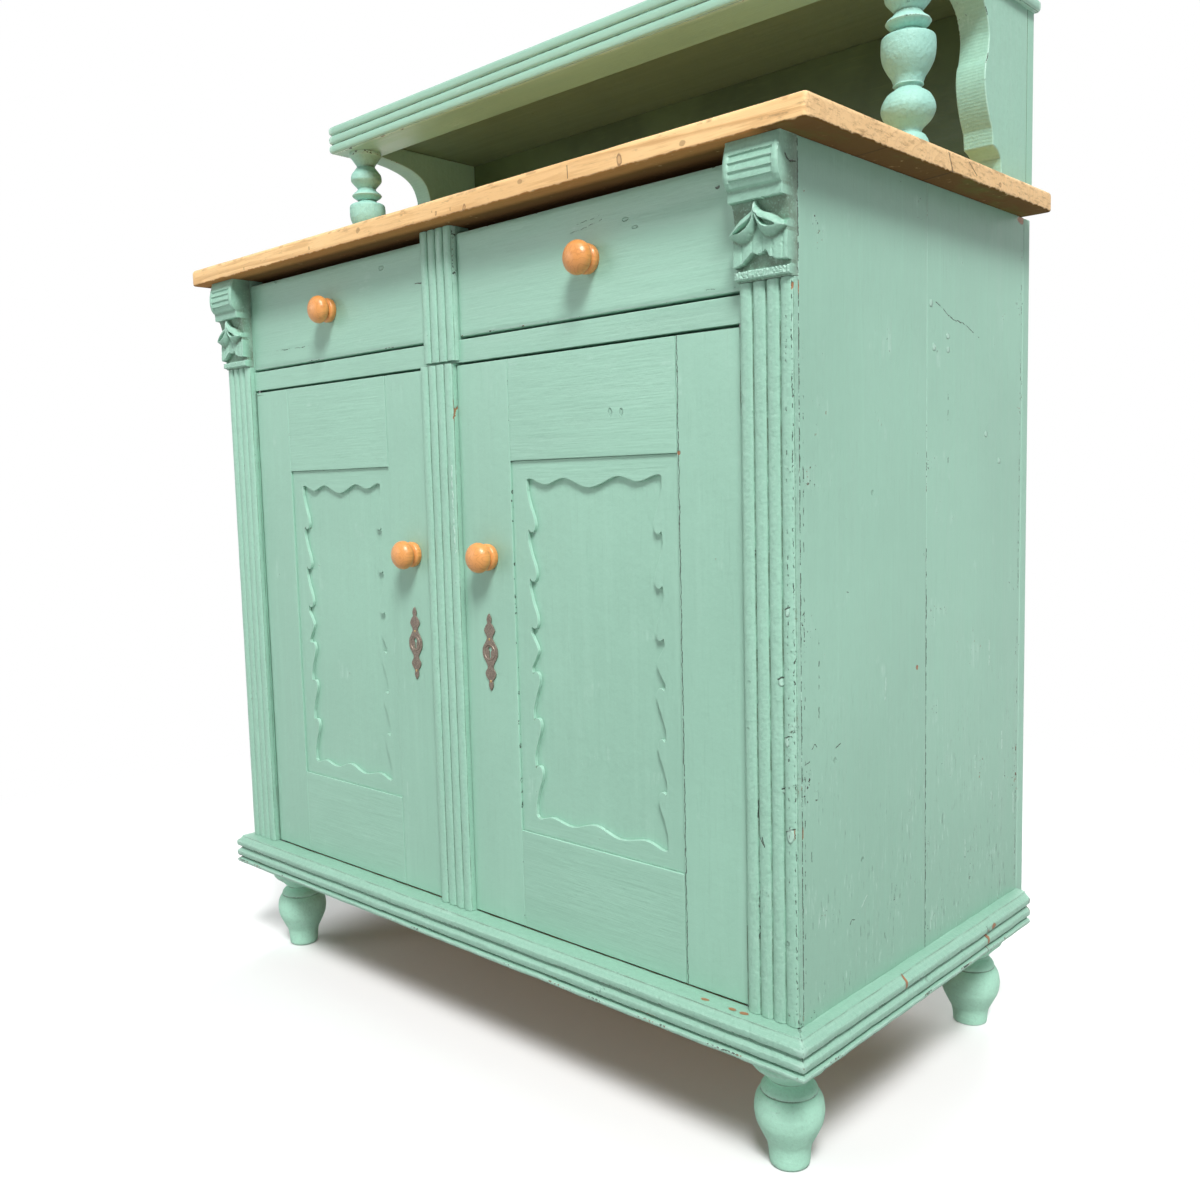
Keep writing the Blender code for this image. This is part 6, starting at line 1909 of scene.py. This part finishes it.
def make_feet():
    """Four feet, each a little different."""
    for name, sag in FOOT_SAG.items():
        low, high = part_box(f"foot_{name}")
        foot = turned(foot_profile(sag), ((low.x + high.x) / 2, (low.y + high.y) / 2, 0), steps=56)
        wander(foot, 0.2 * MM, 30 * MM, low.x + low.y)
        for vert in foot.data.vertices:
            vert.co.z = max(vert.co.z, 0.0)
        complete(foot, f"turned_foot_{name}", ROOT, SAGE_FOOT_LIGHTENED, [f"foot_{name}"], angle=40)


make_feet()
print("four feet")

# %% Knobs
KNOB_ROSE = [(0.012, 0.0), (0.012, 0.80), (0.02, 0.845), (0.05, 0.865), (0.095, 0.875), (0.103, 0.855),
             (0.112, 0.855), (0.12, 0.885), (0.17, 0.895), (0.235, 0.875), (0.28, 0.80), (0.315, 0.70),
             (0.33, 0.655)]
KNOB_HEAD = [(0.345, 0.66), (0.375, 0.76), (0.42, 0.87), (0.49, 0.965), (0.56, 1.0), (0.65, 0.99),
             (0.74, 0.94), (0.82, 0.84), (0.89, 0.70), (0.95, 0.48), (0.985, 0.25), (1.0, 0.0)]


def make_knob(body, node_name):
    """A turned mushroom knob: a rose against the wood, a waist and a domed head."""
    low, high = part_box(node_name)
    radius = (high.x - low.x) / 2
    length = FACE - low.y
    centre = ((low.x + high.x) / 2, FACE, (low.z + high.z) / 2)
    shares = KNOB_ROSE + smooth_line(KNOB_HEAD, 3)
    profile = [(share * length, width * radius) for share, width in shares]
    knob = turned(profile, centre, axis=1, steps=48)
    complete(knob, f"turned_{node_name}", body, KNOB_WOOD, [node_name], angle=40)


for body in ("door_left", "drawer_left", "door_right", "drawer_right"):
    make_knob(body, f"{body}_knob")
print("four knobs")

# %% [markdown]
# ## Key plates
#
# Each door has a pierced brass plate, cast with lobes above and below a round middle that holds the
# keyhole. It is drawn as two outlines, one inside the other, filled between them and extruded, and two
# brass pins are turned for its lobes.

# %% Key plates
PLATE_UPPER = [(0.0, 1.0), (0.10, 0.95), (0.19, 0.76), (0.27, 0.55), (0.36, 0.37), (0.43, 0.42),
               (0.50, 0.62), (0.56, 0.70), (0.62, 0.62), (0.70, 0.42), (0.75, 0.24), (0.83, 0.30),
               (0.89, 0.27), (0.96, 0.14), (1.0, 0.0)]
PLATE_RING = [(0.0, 9.4), (0.5, 9.3), (0.8, 8.8), (0.5, 8.3), (0.0, 8.2), (0.0, 9.4)]
EYE_RADIUS = 3.0 * MM
SLOT_WIDTH = 2.6 * MM
SLOT_LENGTH = 13.0 * MM
EYE_STEPS = 16
PLATE_ARRIS = 0.35 * MM
PIN_PROFILE = [(0.0, 0.0), (0.0, 1.5), (0.25, 1.45), (0.45, 1.0), (0.55, 0.0)]
PIN_HEIGHTS = (15.0, -34.0)


def plate_outline(x, z, half_width, half_height):
    """The plate's outline, alike above and below."""
    half = smooth_line(PLATE_UPPER, 3)
    right = [(x + width * half_width, z + share * half_height) for share, width in half]
    left = [(2 * x - across, up) for across, up in reversed(right[:-1])]
    upper = right + left
    lower = [(across, 2 * z - up) for across, up in upper[1:-1]]
    return upper + lower[::-1]


def keyhole_outline(x, z):
    """A round eye with a slot under it."""
    eye = z + SLOT_LENGTH / 2 - EYE_RADIUS
    start = math.asin(SLOT_WIDTH / 2 / EYE_RADIUS)
    loop = []
    for step in range(EYE_STEPS + 1):
        angle = -math.pi / 2 + start + (2 * math.pi - 2 * start) * step / EYE_STEPS
        loop.append((x + EYE_RADIUS * math.cos(angle), eye + EYE_RADIUS * math.sin(angle)))
    return loop + [(x - SLOT_WIDTH / 2, z - SLOT_LENGTH / 2), (x + SLOT_WIDTH / 2, z - SLOT_LENGTH / 2)]


def make_key_plate(hand):
    """One key plate with its pins."""
    body = f"door_{hand}"
    low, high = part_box(f"{body}_escutcheon")
    x = (low.x + high.x) / 2
    z = (low.z + high.z) / 2
    outline = plate_outline(x, z, (high.x - low.x) / 2 - NEAR, (high.z - low.z) / 2 - NEAR)
    plate = outline_piece([outline, keyhole_outline(x, z)], 1, high.y, low.y)
    soften(plate, PLATE_ARRIS, 2, 50, lambda edge: middle(edge).y < low.y + NEAR)
    complete(plate, f"{body}_key_plate", body, BRASS, [f"{body}_escutcheon"], angle=30)
    profile = [(out * MM, radius * MM) for out, radius in PLATE_RING]
    ring = turned(profile, (x, low.y + NEAR, z), axis=1, steps=32)
    complete(ring, f"{body}_plate_ring", body, BRASS, angle=50)
    profile = [(out * MM, radius * MM) for out, radius in PIN_PROFILE]
    for index, place in enumerate(PIN_HEIGHTS):
        pin = turned(profile, (x, low.y + NEAR / 2, z + place * MM), axis=1, steps=20)
        complete(pin, f"{body}_plate_pin_{index + 1}", body, BRASS_PIN)


make_key_plate("left")
make_key_plate("right")
print("two key plates")

# %% [markdown]
# ## Pieces kept from the solid model
#
# What shows only through an open door or drawer keeps its solid as it is, and only gets the right wood,
# paint or metal.

# %% Finishes of the kept pieces
KEPT = [
    (RAW, ["bottom_board", "inner_shelf"]),
    (RAW_DEEPWISE, ["drawer_bed", "drawer_left_box", "drawer_right_box"]),
    (SAGE_UPRIGHT, ["centre_post", "corner_post_left", "corner_post_right", "door_left_panel",
                    "door_right_panel"]),
    (STEEL, ["door_left_lock_case", "door_right_lock_case", "pivot_left_lower", "pivot_left_upper",
             "pivot_right_lower", "pivot_right_upper"]),
]
for finish, names in KEPT:
    for name in names:
        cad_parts[name].data.materials[0] = finish
print(sum(len(names) for finish, names in KEPT), "kept pieces")
